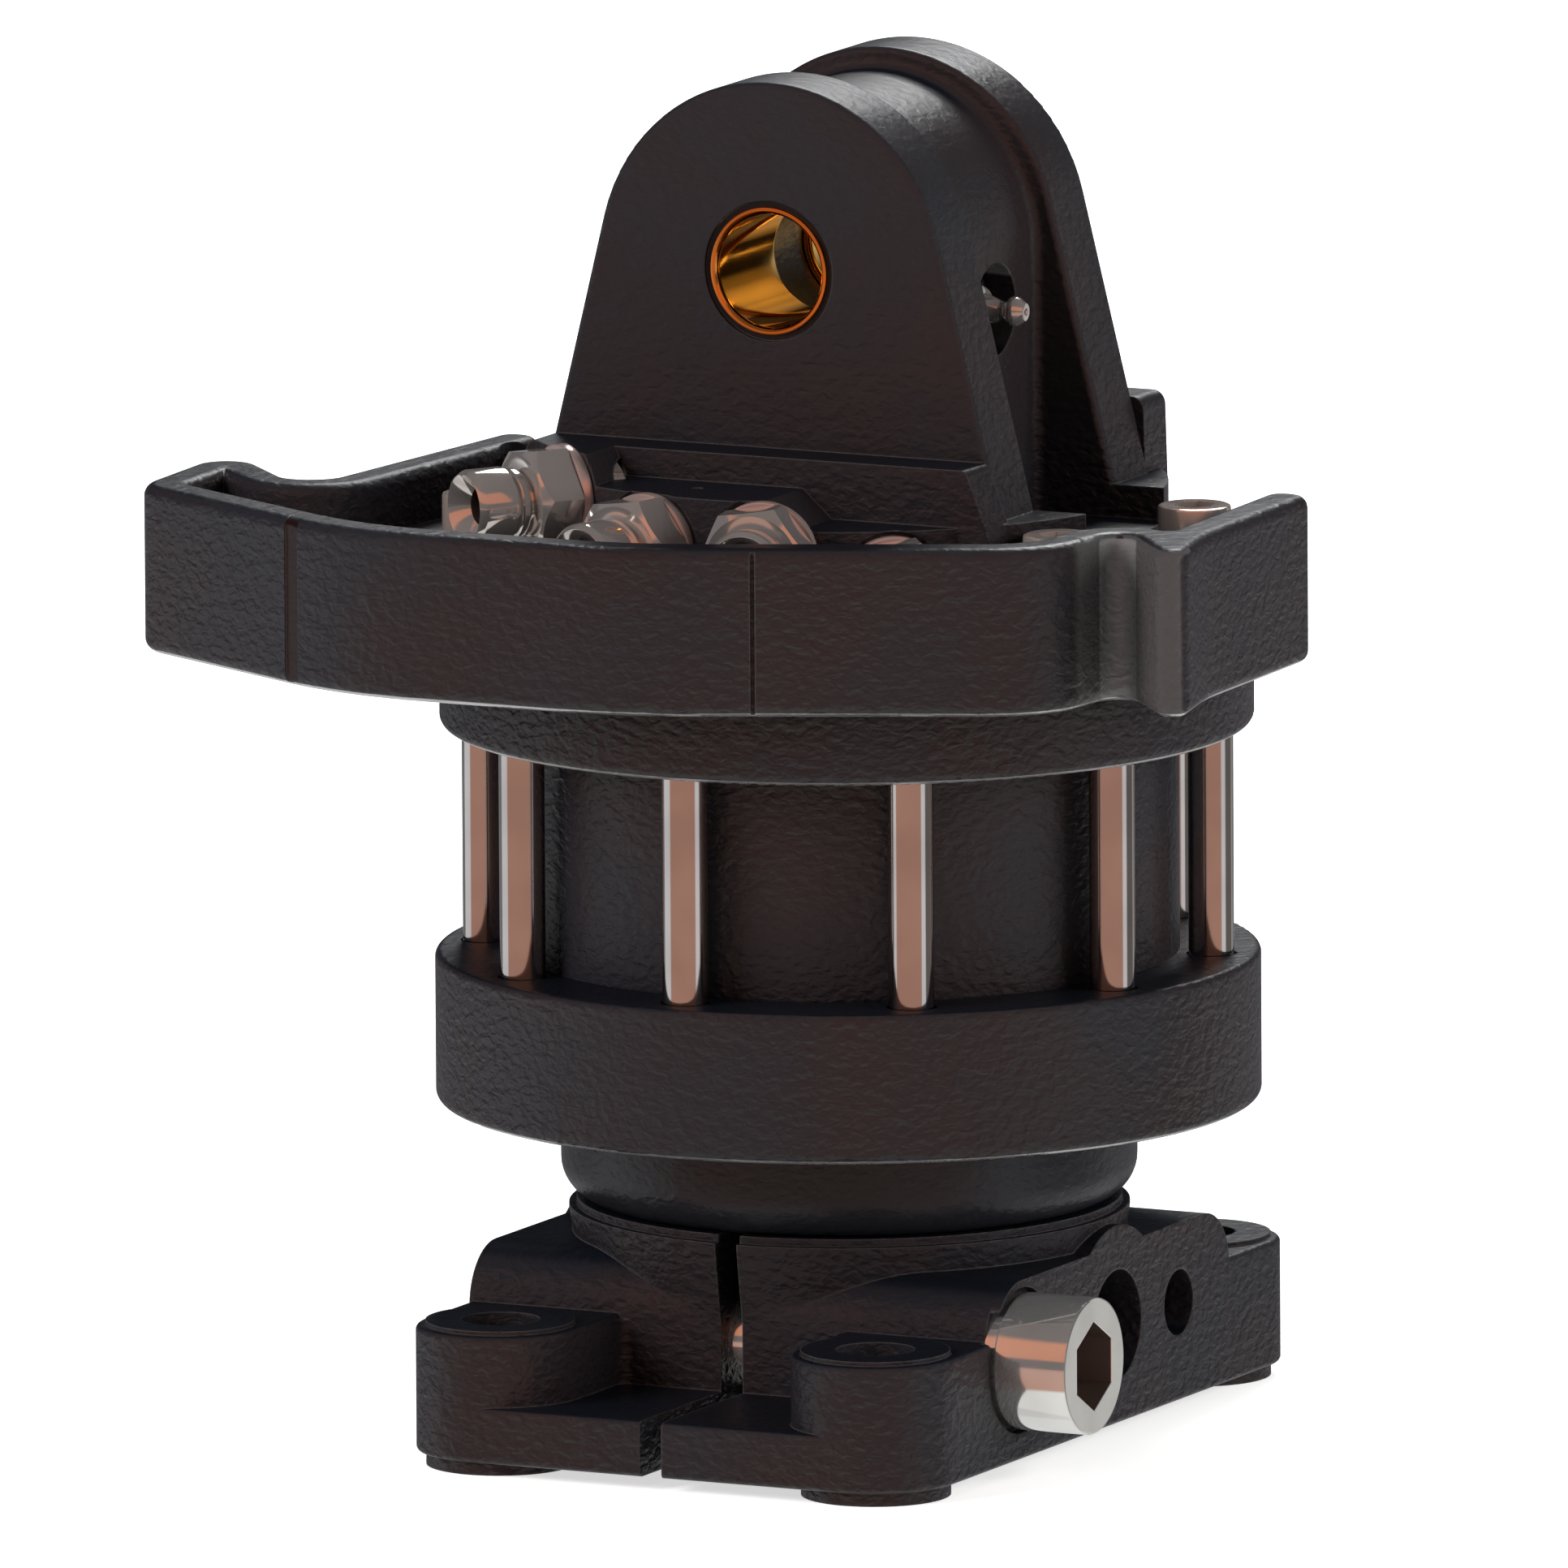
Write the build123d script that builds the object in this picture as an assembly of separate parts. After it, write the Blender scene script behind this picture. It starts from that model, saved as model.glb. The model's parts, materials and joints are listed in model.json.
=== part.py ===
from build123d import *
import math
import os

# All sizes are in millimetres. The origin is the centre of the foot's bolt pattern on the
# underside of its pads, +Z is up along the rotation axis, and -Y is the hose side.
# Angles round the axis are measured from -Y towards +X.

# Clearances
running_gap = 0.05
thread_gap = 0.05
seal_gap = 0.1
screw_hole_gap = 0.5
key_gap = 0.02
overrun = 1.0

# Foot clamp casting
bolt_spacing_x = 90.8
bolt_spacing_y = 160.4
bolt_hole_r = 8.5
boss_r = 18.4
boss_top_z = 30.8
spot_ring_height = 1.0
pad_r = 16.3
pad_height = 3.0
foot_plate_thickness = 12.3
block_half_length = 58.5
block_top_z = 42.6
block_shoulder_r = 13.0
collar_step = 1.7
collar_draft = 2.6
collar_neck_z = 31.0
collar_top_z = 48.5
collar_edge_height = 1.0
collar_lip_step = 1.7
collar_lip_height = 1.7
clamp_slit = 5.2
side_port_z = 25.0
side_port_y = 2.0
side_port_r = 12.25
side_port_relief = 1.0
side_port_relief_end = 42.0
port_bump_r = 22.0
foot_edge_round = 1.2
foot_corner_round = 3.0
side_hole_r = 7.3
side_hole_y = 33.0
side_hole_depth = 20.0

# Clamp screw
clamp_screw_r = 10.0
clamp_screw_length = 110.0
clamp_head_r = 15.0
clamp_head_height = 20.0
clamp_hex_across = 17.0
clamp_hex_depth = 10.0
clamp_screw_y = -45.6
clamp_head_sunk = 2.5
clamp_thread_runout = 3.0

# Shaft, from its foot in the clamp up to the oil spigot
shaft_foot_r = 38.0
shaft_end_z = 8.0
bowl_inset = 0.8
bowl_bottom_inset = 7.0
bowl_round_height = 8.8
bowl_flange_gap = 0.6
shaft_port_r = 9.0
shaft_port_depth = 14.0
rotor_seat_r = 40.0
journal_shoulder = 8.0
thread_shoulder = 3.0
spigot_r = 30.0
spigot_groove_depth = 2.0
spigot_seal_width = 2.6
spigot_port_width = 6.0
spigot_port_depth = 3.0

# Lower flange, stator ring and upper flange
lower_flange_z = 71.7
lower_flange_height = 33.0
lower_flange_rim = 10.2
ring_height = 49.9
ring_rim = 3.1
cam_gap = 0.3
cam_lift = 4.8
upper_flange_height = 15.4
upper_flange_rim = 8.9
flange_edge_round = 1.6
flange_foot_round = 2.4
nut_pocket_gap = 3.0

# Tie screws, head screws and dowels
screw_r = 5.0
screw_head_r = 8.0
screw_head_height = 10.0
screw_hex_across = 8.0
screw_hex_depth = 5.0
screw_ring_gap = 2.5
tie_screw_count = 10
tie_head_seat = 11.0
thread_depth = 12.0
shelf_screw_angles = (-97.5, -61.5, 61.5, 97.5)
rear_screw_angles = (-162.0, -126.0, 126.0, 162.0)
dowel_r = 2.0
dowel_length = 12.0
dowel_land = 2.9

# Bearings and seals
bush_wall = 3.0
lower_bush_length = 9.0
upper_bush_length = 16.0
seal_wall = 7.9
seal_height = 6.5
race_shaft_gap = 2.5
race_width = 16.0
lower_race_height = 4.5
roller_r = 2.5
roller_length = 9.0
roller_count = 20
cage_height = 2.6
cage_wall = 1.2
cord_r = 1.05
cord_groove_width = 2.5
cord_groove_depth = 2.2
flange_cord_land = 2.6
head_cord_land = 4.0

# Rotor, vanes and the nut on the shaft
vane_count = 8
vane_slot_floor = 4.0
vane_thickness = 6.0
vane_height = 10.6
vane_slot_depth = 12.9
spring_thickness = 0.5
spring_rise = 1.6
rotor_step_width = 6.0
rotor_step_height = 0.5
key_width = 8.0
key_height = 7.0
key_length = 36.0
nut_wall = 10.0
nut_height = 10.0
nut_slot_width = 7.0
nut_slot_depth = 3.5
tab_washer_thickness = 1.5

# Hanger head, heights measured up from its underside
hub_screw_gap = 1.6
front_deck_height = 7.0
rear_deck_height = 14.0
rear_deck_y = 16.0
screw_shelf_height = 26.0
hub_height = 37.5
ear_floor_height = 30.3
front_step_height = 43.8
front_pad_height = 50.2
front_pad_shoulder = 35.2
front_pad_top_half = 52.7
front_pad_low_half = 58.5
front_pad_round = 1.8
rear_pad_height = 54.0
rear_pad_top_half = 54.0
rear_pad_low_half = 55.2
rear_pad_round = 3.0
pad_depth = 11.0
pad_root = 1.0
step_left_x = -32.0
step_left_slope = 3.0
step_right_x = 13.5
step_right_slope = 7.0
spigot_end_height = 49.0
spigot_bore_height = 51.0
vent_r = 1.2
vent_depth = 6.0
vent_place = (-7.5, -57.5)
shelf_inner_x = 40.0

# Corners of the screw shelves and the hose guard: which side of the axis, then how far they lie
# outside the hub sideways and in front of it
shelf_right = ((1, 9.6, -21.4), (1, 27.6, -48.4), (1, 27.6, -88.4), (1, -10.4, -94.4))
shelf_left = ((-1, -10.4, -21.4), (-1, 23.6, -13.4), (-1, 27.6, -48.4), (-1, 21.6, -94.4))
guard_left_tail = (-1, 22.1, -130.4)
guard_left_neck = (-1, 32.6, -12.4)
guard_left_lobe = (-1, 69.1, -49.4)
guard_left_bend = (-1, 66.1, 2.6)
guard_front_left_bend = (-1, -1.4, 40.1)
guard_front_right_bend = (0, 0.0, 40.1)
guard_right_bend = (1, 15.1, 2.1)
guard_right_neck = (1, 16.4, -29.9)
guard_right_lobe = (1, 44.6, 4.1)
guard_right_waist = (1, 36.1, -32.4)
guard_right_tail = (1, 31.1, -130.4)

# Hose guard on the hanger head
guard_wall = 10.5
guard_drop = 1.7
guard_height = 36.9
guard_edge_round = 2.8
guard_end_round = 4.6
guard_end_left_y = 25.0
guard_end_right_y = 20.0
guard_neck_round = 6.0
guard_lobe_round = 8.0
guard_left_round = 14.0
guard_front_round = 80.0
guard_right_round = 24.0
guard_notch_round = 3.5
guard_tip_round = 4.0
guard_waist_round = 60.0
guard_seam_x = 26.0
guard_seam_width = 1.0
guard_seam_depth = 1.0
guard_strip_x = -84.0
guard_strip_width = 4.3
guard_strip_depth = 0.4

# Pin lug and its bushes
pin_height = 89.0
pin_r = 12.5
pin_bush_r = 14.0
pin_bush_length = 29.5
pin_mouth_step = 1.4
pin_mouth_depth = 1.0
lug_width = 75.0
ear_r = 41.4
ear_thickness = 18.0
ear_taper = 14.0
ear_edge_round = 1.5
web_r = 36.5
web_round = 2.6
grease_z_drop = 11.5
grease_pocket_r = 10.3
grease_pocket_x = 29.0
grease_hole_r = 2.5
grease_thread_r = 3.0
grease_thread_length = 5.0
grease_hex_across = 9.0
grease_hex_height = 5.0
grease_length = 15.0
grease_cone_height = 4.0
grease_cone_inset = 0.5
grease_neck_r = 2.2
grease_neck_length = 1.5
grease_head_r = 3.3
grease_head_slope = 1.5
grease_head_length = 1.0
grease_bore_r = 0.9
grease_bore_depth = 3.0

# Hose nipples from left to right: angle, height above the head's underside, and how far
# each end stands out from the hub
nipple_angles = (-34.5, -11.5, 11.5, 34.5)
nipple_heights = (39.5, 32.0, 32.0, 24.5)
nipple_reaches = (24.6, 24.6, 18.9, 18.4)
nipple_seat_sunk = 1.3
nipple_thread_r = 8.25
nipple_thread_length = 11.0
nipple_bore_r = 4.0
nipple_hex_across = 22.0
nipple_hex_height = 9.5
nipple_neck_r = 6.8
nipple_neck_length = 2.5
nipple_cone_r = 6.4
nipple_cone_depth = 4.0
spot_face_r = 13.0
washer_r = 12.0
washer_thickness = 2.5
passage_r = 4.0
nipple_edge = 0.8
nipple_hex_slope = 1.6
nipple_hex_inset = 0.4
nipple_turn = 8.0

# Levels and sizes worked out from the ones above
foot_half_x = bolt_spacing_x / 2 + boss_r
foot_half_y = bolt_spacing_y / 2 + boss_r
bowl_r = foot_half_x - bowl_inset
bowl_bottom_r = bowl_r - bowl_bottom_inset
collar_r = bowl_r - collar_step
collar_neck_r = collar_r - collar_draft
collar_lip_r = collar_r - collar_lip_step
ring_z = lower_flange_z + lower_flange_height
upper_flange_z = ring_z + ring_height
head_z = upper_flange_z + upper_flange_height
pin_z = head_z + pin_height
beyond = 2 * foot_half_y
shaft_journal_r = rotor_seat_r + journal_shoulder
thread_r = rotor_seat_r - thread_shoulder
nut_r = thread_r + nut_wall
nut_pocket_r = nut_r + nut_pocket_gap
vane_floor_r = rotor_seat_r + vane_slot_floor
rotor_r = vane_floor_r + vane_slot_depth
rotor_step_r = shaft_journal_r + rotor_step_width
cam_short_r = rotor_r + cam_gap
cam_long_r = cam_short_r + cam_lift
race_inner_r = shaft_journal_r + race_shaft_gap
race_outer_r = race_inner_r + race_width
roller_circle_r = (race_inner_r + race_outer_r) / 2
dowel_circle_r = race_outer_r + dowel_land
ring_r = dowel_circle_r + ring_rim
screw_circle_r = ring_r + screw_r + screw_ring_gap
lower_flange_r = screw_circle_r + lower_flange_rim
upper_flange_r = screw_circle_r + upper_flange_rim
hub_r = screw_circle_r - screw_head_r - hub_screw_gap
flange_cord_r = cam_long_r + flange_cord_land
head_cord_r = nut_pocket_r + head_cord_land
bowl_bottom_z = collar_top_z + collar_lip_height
bowl_top_z = lower_flange_z - bowl_flange_gap
seal_top_z = lower_flange_z + seal_height + 2 * seal_gap
bush_top_z = seal_top_z + lower_bush_length + seal_gap
rotor_z = ring_z + running_gap
rotor_top_z = upper_flange_z - running_gap
race_top_z = bush_top_z + lower_race_height
upper_race_z = race_top_z + 2 * (roller_r + running_gap)
nut_z = rotor_top_z + tab_washer_thickness
shelf_z = head_z + screw_shelf_height
rear_deck_z = head_z + rear_deck_height
ear_floor_z = head_z + ear_floor_height
lug_half = lug_width / 2
ear_inner_y = lug_half - ear_thickness
pad_face_y = lug_half + pad_depth
seat_x = foot_half_x - clamp_head_sunk
tie_seat_z = lower_flange_z + tie_head_seat
rotor_foot_z = ring_z - rotor_step_height
nipple_seat_r = hub_r - nipple_seat_sunk
upper_bush_z = head_z + seal_gap
spigot_port_heights = (nipple_heights[0], nipple_heights[-1])
spigot_seal_heights = (
    spigot_port_heights[1] - spigot_port_width,
    sum(spigot_port_heights) / 2,
    spigot_port_heights[0] + spigot_port_width,
)
nipple_places = [
    (angle, height, hub_r + reach)
    for angle, height, reach in zip(nipple_angles, nipple_heights, nipple_reaches)
]


def disc(radius, low, high):
    return Pos(0, 0, low) * extrude(Circle(radius), high - low)


def ring(outer, inner, low, high):
    return disc(outer, low, high) - disc(inner, low, high)


def block(x_low, x_high, y_low, y_high, z_low, z_high):
    size = (x_high - x_low, y_high - y_low, z_high - z_low)
    middle = Pos((x_low + x_high) / 2, (y_low + y_high) / 2, (z_low + z_high) / 2)
    return middle * Box(*size)


def turned(points):
    return revolve(Plane.XZ * make_face(Polyline(points, close=True)), Axis.Z)


def hexagon(across, height):
    return extrude(RegularPolygon(across / 2, 6, major_radius=False), height)


def spaced(piece, count):
    return [Rot(0, 0, 360 / count * i) * piece for i in range(count)]


def at_angles(piece, angles):
    """Place copies of a piece modelled on the -Y side."""
    return [Rot(0, 0, angle) * piece for angle in angles]


def radial(angle, z):
    """Frame whose local Z runs outward from the axis at this angle and height."""
    return Pos(0, 0, z) * Rot(0, 0, angle) * Rot(90, 0, 0)


def along_x(radius, x_low, x_high, y, z):
    return Pos(x_low, y, z) * Rot(0, 90, 0) * extrude(Circle(radius), x_high - x_low)


def along_y(radius, y_low, y_high, x, z):
    return Pos(x, y_high, z) * Rot(90, 0, 0) * extrude(Circle(radius), y_high - y_low)


def corner_face(radius):
    """Flat filler for a concave corner at the origin, between +X and +Y."""
    square = Pos(radius / 2, radius / 2) * Rectangle(radius, radius)
    return square - Pos(radius, radius) * Circle(radius)


def cap_screw(radius, length, head_r, head_height, hex_across, hex_depth, edge):
    """Socket head screw with its seat at Z=0 and its shank pointing down."""
    body = disc(radius, -length, 0) + disc(head_r, 0, head_height)
    body = chamfer(body.edges().group_by(Axis.Z)[-1], edge)
    return body - Pos(0, 0, head_height - hex_depth) * hexagon(hex_across, hex_depth)


def m10_screw(length):
    head = (screw_head_r, screw_head_height, screw_hex_across, screw_hex_depth)
    return cap_screw(screw_r, length, *head, 0.6)


def foot_arm():
    """One boss and the wall behind it, in the corner towards +X and +Y."""
    arm_x = bolt_spacing_x / 2 - boss_r
    wall_y = block_half_length - foot_corner_round
    bolt_x = bolt_spacing_x / 2
    bolt_y = bolt_spacing_y / 2
    outline = make_face(
        Polyline((arm_x, wall_y), (foot_half_x, wall_y), (foot_half_x, bolt_y), (arm_x, bolt_y), close=True)
    )
    outline += Pos(bolt_x, bolt_y) * Circle(boss_r)
    low = pad_height + foot_edge_round
    arm = Pos(0, 0, low) * extrude(outline, boss_top_z - low)
    arm = fillet(arm.edges().group_by(Axis.Z)[-1], foot_edge_round)
    arm += Pos(bolt_x, bolt_y, 0) * disc(pad_r, 0, boss_top_z + spot_ring_height)
    corner = extrude(corner_face(foot_corner_round), boss_top_z - foot_edge_round - low)
    return arm + Pos(arm_x, block_half_length, low) * Rot(0, 0, 90) * corner


def build_foot_clamp():
    plate = extrude(RectangleRounded(2 * foot_half_x, 2 * foot_half_y, boss_r), foot_plate_thickness)
    rims = plate.edges().group_by(Axis.Z)[0] + plate.edges().group_by(Axis.Z)[-1]
    body = Pos(0, 0, pad_height) * fillet(rims, foot_edge_round)
    block_low = pad_height + foot_edge_round
    profile = FilletPolyline(
        (-block_half_length, block_low),
        (-block_half_length, block_top_z),
        (block_half_length, block_top_z),
        (block_half_length, block_low),
        radius=(0, block_shoulder_r, block_shoulder_r, 0),
        close=True,
    )
    body += extrude(Plane.YZ * make_face(profile), foot_half_x, both=True)
    bump = along_x(port_bump_r, -foot_half_x, foot_half_x, side_port_y, side_port_z)
    body += bump & block(-beyond, beyond, -beyond, beyond, side_port_z, beyond)
    arm = foot_arm()
    for piece in (arm, mirror(arm, Plane.YZ)):
        body += piece
        body += mirror(piece, Plane.XZ)
    lip_z = collar_top_z + collar_lip_height
    body += turned(
        (
            (0, pad_height),
            (collar_neck_r - collar_edge_height, pad_height),
            (collar_neck_r - collar_edge_height, collar_neck_z),
            (collar_neck_r, collar_neck_z),
            (collar_r, collar_top_z - collar_edge_height),
            (collar_r, collar_top_z),
            (collar_lip_r, collar_top_z),
            (collar_lip_r, lip_z),
            (0, lip_z),
        )
    )
    body -= disc(shaft_foot_r + running_gap, pad_height, lip_z)
    half_slit = clamp_slit / 2
    body -= block(-half_slit, half_slit, -foot_half_y, 0, 0, lip_z)
    for x in (-bolt_spacing_x / 2, bolt_spacing_x / 2):
        for y in (-bolt_spacing_y / 2, bolt_spacing_y / 2):
            body -= Pos(x, y, 0) * disc(bolt_hole_r, 0, boss_top_z + spot_ring_height)
    relief_end = side_port_relief_end
    relief_r = side_port_r + side_port_relief
    body -= along_x(relief_r, -relief_end, relief_end, side_port_y, side_port_z)
    screw_end_x = seat_x - clamp_screw_length
    clear_r = clamp_screw_r + screw_hole_gap / 2
    screw_place = (clamp_screw_y, side_port_z)
    body -= along_x(clear_r, 0, foot_half_x, *screw_place)
    body -= along_x(clamp_screw_r + thread_gap, screw_end_x - clamp_thread_runout, 0, *screw_place)
    body -= along_x(clamp_head_r + 2 * screw_hole_gap, seat_x, foot_half_x, *screw_place)
    body -= along_x(side_port_r, -foot_half_x, foot_half_x, side_port_y, side_port_z)
    hole_x = foot_half_x - side_hole_depth
    body -= along_x(side_hole_r, hole_x, foot_half_x, side_hole_y, side_port_z)
    return body


def build_clamp_screw():
    head = (clamp_head_r, clamp_head_height, clamp_hex_across, clamp_hex_depth)
    screw = cap_screw(clamp_screw_r, clamp_screw_length, *head, 0.8)
    return Pos(seat_x, clamp_screw_y, side_port_z) * Rot(0, 90, 0) * screw


def bowl_outline():
    """Outer profile of the bowl, from its bottom edge up to the flange."""
    low = (bowl_bottom_r, bowl_bottom_z)
    side = (bowl_r, bowl_bottom_z + bowl_round_height)
    curve = TangentArc(side, low, tangent=(0, -1))
    return curve


def build_drive_shaft():
    groove_r = spigot_r - spigot_groove_depth
    side_z = bowl_bottom_z + bowl_round_height
    edges = [
        Line((0, shaft_end_z), (shaft_foot_r, shaft_end_z)),
        Line((shaft_foot_r, shaft_end_z), (shaft_foot_r, bowl_bottom_z)),
        Line((shaft_foot_r, bowl_bottom_z), (bowl_bottom_r, bowl_bottom_z)),
        bowl_outline(),
        Polyline(
            (bowl_r, side_z),
            (bowl_r, bowl_top_z),
            (shaft_journal_r, bowl_top_z),
            (shaft_journal_r, rotor_foot_z - overrun),
            (rotor_seat_r, rotor_foot_z - overrun),
            (rotor_seat_r, rotor_top_z),
            (thread_r, rotor_top_z),
            (thread_r, nut_z + nut_height),
            (spigot_r, nut_z + nut_height),
            (spigot_r, head_z + spigot_end_height),
            (0, head_z + spigot_end_height),
            (0, shaft_end_z),
        ),
    ]
    shaft = revolve(Plane.XZ * make_face(Curve() + edges), Axis.Z)
    for height in spigot_seal_heights:
        z = head_z + height
        half = spigot_seal_width / 2 + seal_gap
        shaft -= ring(spigot_r + overrun, groove_r, z - half, z + half)
    for height in spigot_port_heights:
        z = head_z + height
        half = spigot_port_width / 2
        shaft -= ring(spigot_r + overrun, spigot_r - spigot_port_depth, z - half, z + half)
    clear_r = clamp_screw_r + screw_hole_gap / 2
    screw_place = (clamp_screw_y, side_port_z)
    shaft -= along_x(clear_r, -shaft_foot_r, shaft_foot_r, *screw_place)
    for side in (-1, 1):
        port = sorted((side * (shaft_foot_r - shaft_port_depth), side * (shaft_foot_r + overrun)))
        shaft -= along_x(shaft_port_r, *port, side_port_y, side_port_z)
    for key_seat in key_places():
        shaft -= key_seat * key_blank(key_gap)
    return shaft


def key_blank(gap):
    low = rotor_seat_r - key_height / 2 - gap
    high = rotor_seat_r + key_height / 2 + gap
    half = key_width / 2 + gap
    middle = (rotor_z + rotor_top_z) / 2
    reach = key_length / 2 + gap
    return block(-half, half, -high, -low, middle - reach, middle + reach)


def key_places():
    """Keys sit half way between two vane slots, on opposite sides."""
    turn = 180 / vane_count
    return [Rot(0, 0, turn), Rot(0, 0, turn + 180)]


def build_rotor_core():
    rotor = ring(rotor_r, rotor_seat_r, rotor_z, rotor_top_z)
    rotor += ring(rotor_step_r, rotor_seat_r, rotor_foot_z, rotor_z)
    half = vane_thickness / 2 + key_gap
    slot = block(-half, half, -rotor_r - overrun, -vane_floor_r, rotor_z, rotor_top_z)
    for cut in spaced(slot, vane_count):
        rotor -= cut
    for place in key_places():
        keyway = key_blank(key_gap)
        rotor -= place * keyway
    return rotor


def build_vanes():
    """Vanes drawn fully back into their slots."""
    half = vane_thickness / 2
    tip = rotor_r - 0.1
    low = rotor_z + key_gap
    high = rotor_top_z - key_gap
    vane = block(-half, half, -tip, -(tip - vane_height), low, high)
    tip_edges = vane.edges().filter_by(Axis.Z).group_by(Axis.Y)[0]
    vane = chamfer(tip_edges, 1.2)
    return spaced(vane, vane_count)


def build_vane_springs():
    """Arched leaf springs between the slot floor and the vane."""
    middle = (rotor_z + rotor_top_z) / 2
    reach = ring_height * 0.4
    seat = vane_floor_r + running_gap
    low = [(seat, middle - reach), (vane_floor_r + spring_rise, middle), (seat, middle + reach)]
    high = [(r + spring_thickness, z) for r, z in reversed(low)]
    outline = [ThreePointArc(*low), Line(low[2], high[0]), ThreePointArc(*high), Line(high[2], low[0])]
    strip = extrude(Plane.YZ * make_face(Curve() + outline), vane_thickness / 3, both=True)
    return spaced(Rot(0, 0, 180) * strip, vane_count)


def build_rotor_keys():
    return [place * key_blank(0) for place in key_places()]


def build_tab_washer():
    return ring(nut_r, thread_r + running_gap, rotor_top_z, nut_z)


def build_lock_nut():
    nut = ring(nut_r, thread_r + running_gap, nut_z, nut_z + nut_height)
    half = nut_slot_width / 2
    slot = block(-half, half, -nut_r - overrun, -(nut_r - nut_slot_depth), nut_z, nut_z + nut_height)
    for cut in spaced(slot, 4):
        nut -= cut
    return chamfer(nut.edges().group_by(Axis.Z)[-1].filter_by(GeomType.CIRCLE), 0.8)


def screw_clear_holes(low, high, angles):
    hole = Pos(0, -screw_circle_r, 0) * disc(screw_r + screw_hole_gap, low, high)
    return at_angles(hole, angles)


def screw_threads(low, high, angles):
    hole = Pos(0, -screw_circle_r, 0) * disc(screw_r + thread_gap, low, high)
    return at_angles(hole, angles)


def tie_angles():
    return [360 / tie_screw_count * i for i in range(tie_screw_count)]


def cord_groove(radius, low, high):
    half = cord_groove_width / 2
    return ring(radius + half, radius - half, low, high)


def dowel_holes(z):
    hole = disc(dowel_r + key_gap, z - dowel_length / 2, z + dowel_length / 2)
    return at_angles(Pos(0, -dowel_circle_r, 0) * hole, (18, 198))


def build_lower_flange():
    flange = disc(lower_flange_r, lower_flange_z, ring_z)
    flange = fillet(flange.edges().group_by(Axis.Z)[-1], flange_edge_round)
    flange = fillet(flange.edges().group_by(Axis.Z)[0], flange_foot_round)
    flange -= disc(shaft_journal_r + seal_wall, lower_flange_z, seal_top_z)
    flange -= disc(shaft_journal_r + bush_wall, lower_flange_z, bush_top_z)
    flange -= disc(race_outer_r + running_gap, bush_top_z, ring_z)
    head_hole = disc(screw_head_r + screw_hole_gap, lower_flange_z, tie_seat_z)
    for hole in at_angles(Pos(0, -screw_circle_r, 0) * head_hole, tie_angles()):
        flange -= hole
    for hole in screw_clear_holes(lower_flange_z, ring_z, tie_angles()):
        flange -= hole
    for hole in dowel_holes(ring_z):
        flange -= hole
    return flange


def build_stator_ring():
    ring_blank = Circle(ring_r) - Ellipse(cam_long_r, cam_short_r)
    stator = Pos(0, 0, ring_z) * extrude(ring_blank, ring_height)
    stator -= cord_groove(flange_cord_r, ring_z, ring_z + cord_groove_depth)
    stator -= cord_groove(flange_cord_r, upper_flange_z - cord_groove_depth, upper_flange_z)
    for hole in dowel_holes(ring_z) + dowel_holes(upper_flange_z):
        stator -= hole
    return stator


def build_upper_flange():
    flange = disc(upper_flange_r, upper_flange_z, head_z)
    flange = fillet(flange.edges().group_by(Axis.Z)[0], flange_foot_round)
    flange -= disc(nut_pocket_r, upper_flange_z, head_z)
    for hole in screw_threads(upper_flange_z, upper_flange_z + thread_depth, tie_angles()):
        flange -= hole
    head_angles = shelf_screw_angles + rear_screw_angles
    for hole in screw_threads(head_z - thread_depth, head_z, head_angles):
        flange -= hole
    flange -= cord_groove(head_cord_r, head_z - cord_groove_depth, head_z)
    for hole in dowel_holes(upper_flange_z):
        flange -= hole
    return flange


def build_tie_screws():
    length = upper_flange_z + thread_depth - 1 - tie_seat_z
    screw = Pos(0, -screw_circle_r, tie_seat_z) * Rot(180, 0, 0) * m10_screw(length)
    return at_angles(screw, tie_angles())


def build_dowel_pins():
    pin = disc(dowel_r, -dowel_length / 2 + 0.2, dowel_length / 2 - 0.2)
    pins = []
    for z in (ring_z, upper_flange_z):
        pins += at_angles(Pos(0, -dowel_circle_r, z) * pin, (18, 198))
    return pins


def cord(radius, z):
    return Pos(0, 0, z) * Torus(radius, cord_r)


def build_flange_o_rings():
    depth = cord_groove_depth / 2
    return [cord(flange_cord_r, ring_z + depth), cord(flange_cord_r, upper_flange_z - depth)]


def build_lower_bush():
    low = seal_top_z
    inner = shaft_journal_r + running_gap
    return ring(shaft_journal_r + bush_wall, inner, low, low + lower_bush_length)


def build_shaft_seal():
    low = lower_flange_z + seal_gap
    inner = shaft_journal_r + running_gap
    return ring(shaft_journal_r + seal_wall, inner, low, low + seal_height)


def build_upper_race():
    return ring(race_outer_r - 1, shaft_journal_r, upper_race_z, rotor_foot_z)


def roller_blank(radius, length):
    middle = Pos(0, -roller_circle_r, race_top_z + roller_r + running_gap)
    return middle * Rot(90, 0, 0) * Cylinder(radius, length)


def build_roller_cage():
    half = roller_length / 2 + cage_wall
    middle = race_top_z + roller_r + running_gap
    cage = ring(
        roller_circle_r + half, roller_circle_r - half, middle - cage_height / 2, middle + cage_height / 2
    )
    window = Pos(0, -roller_circle_r, middle)
    window *= Box(2 * (roller_r + seal_gap), roller_length + 2 * seal_gap, cage_height)
    for cut in spaced(window, roller_count):
        cage -= cut
    return cage


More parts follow.
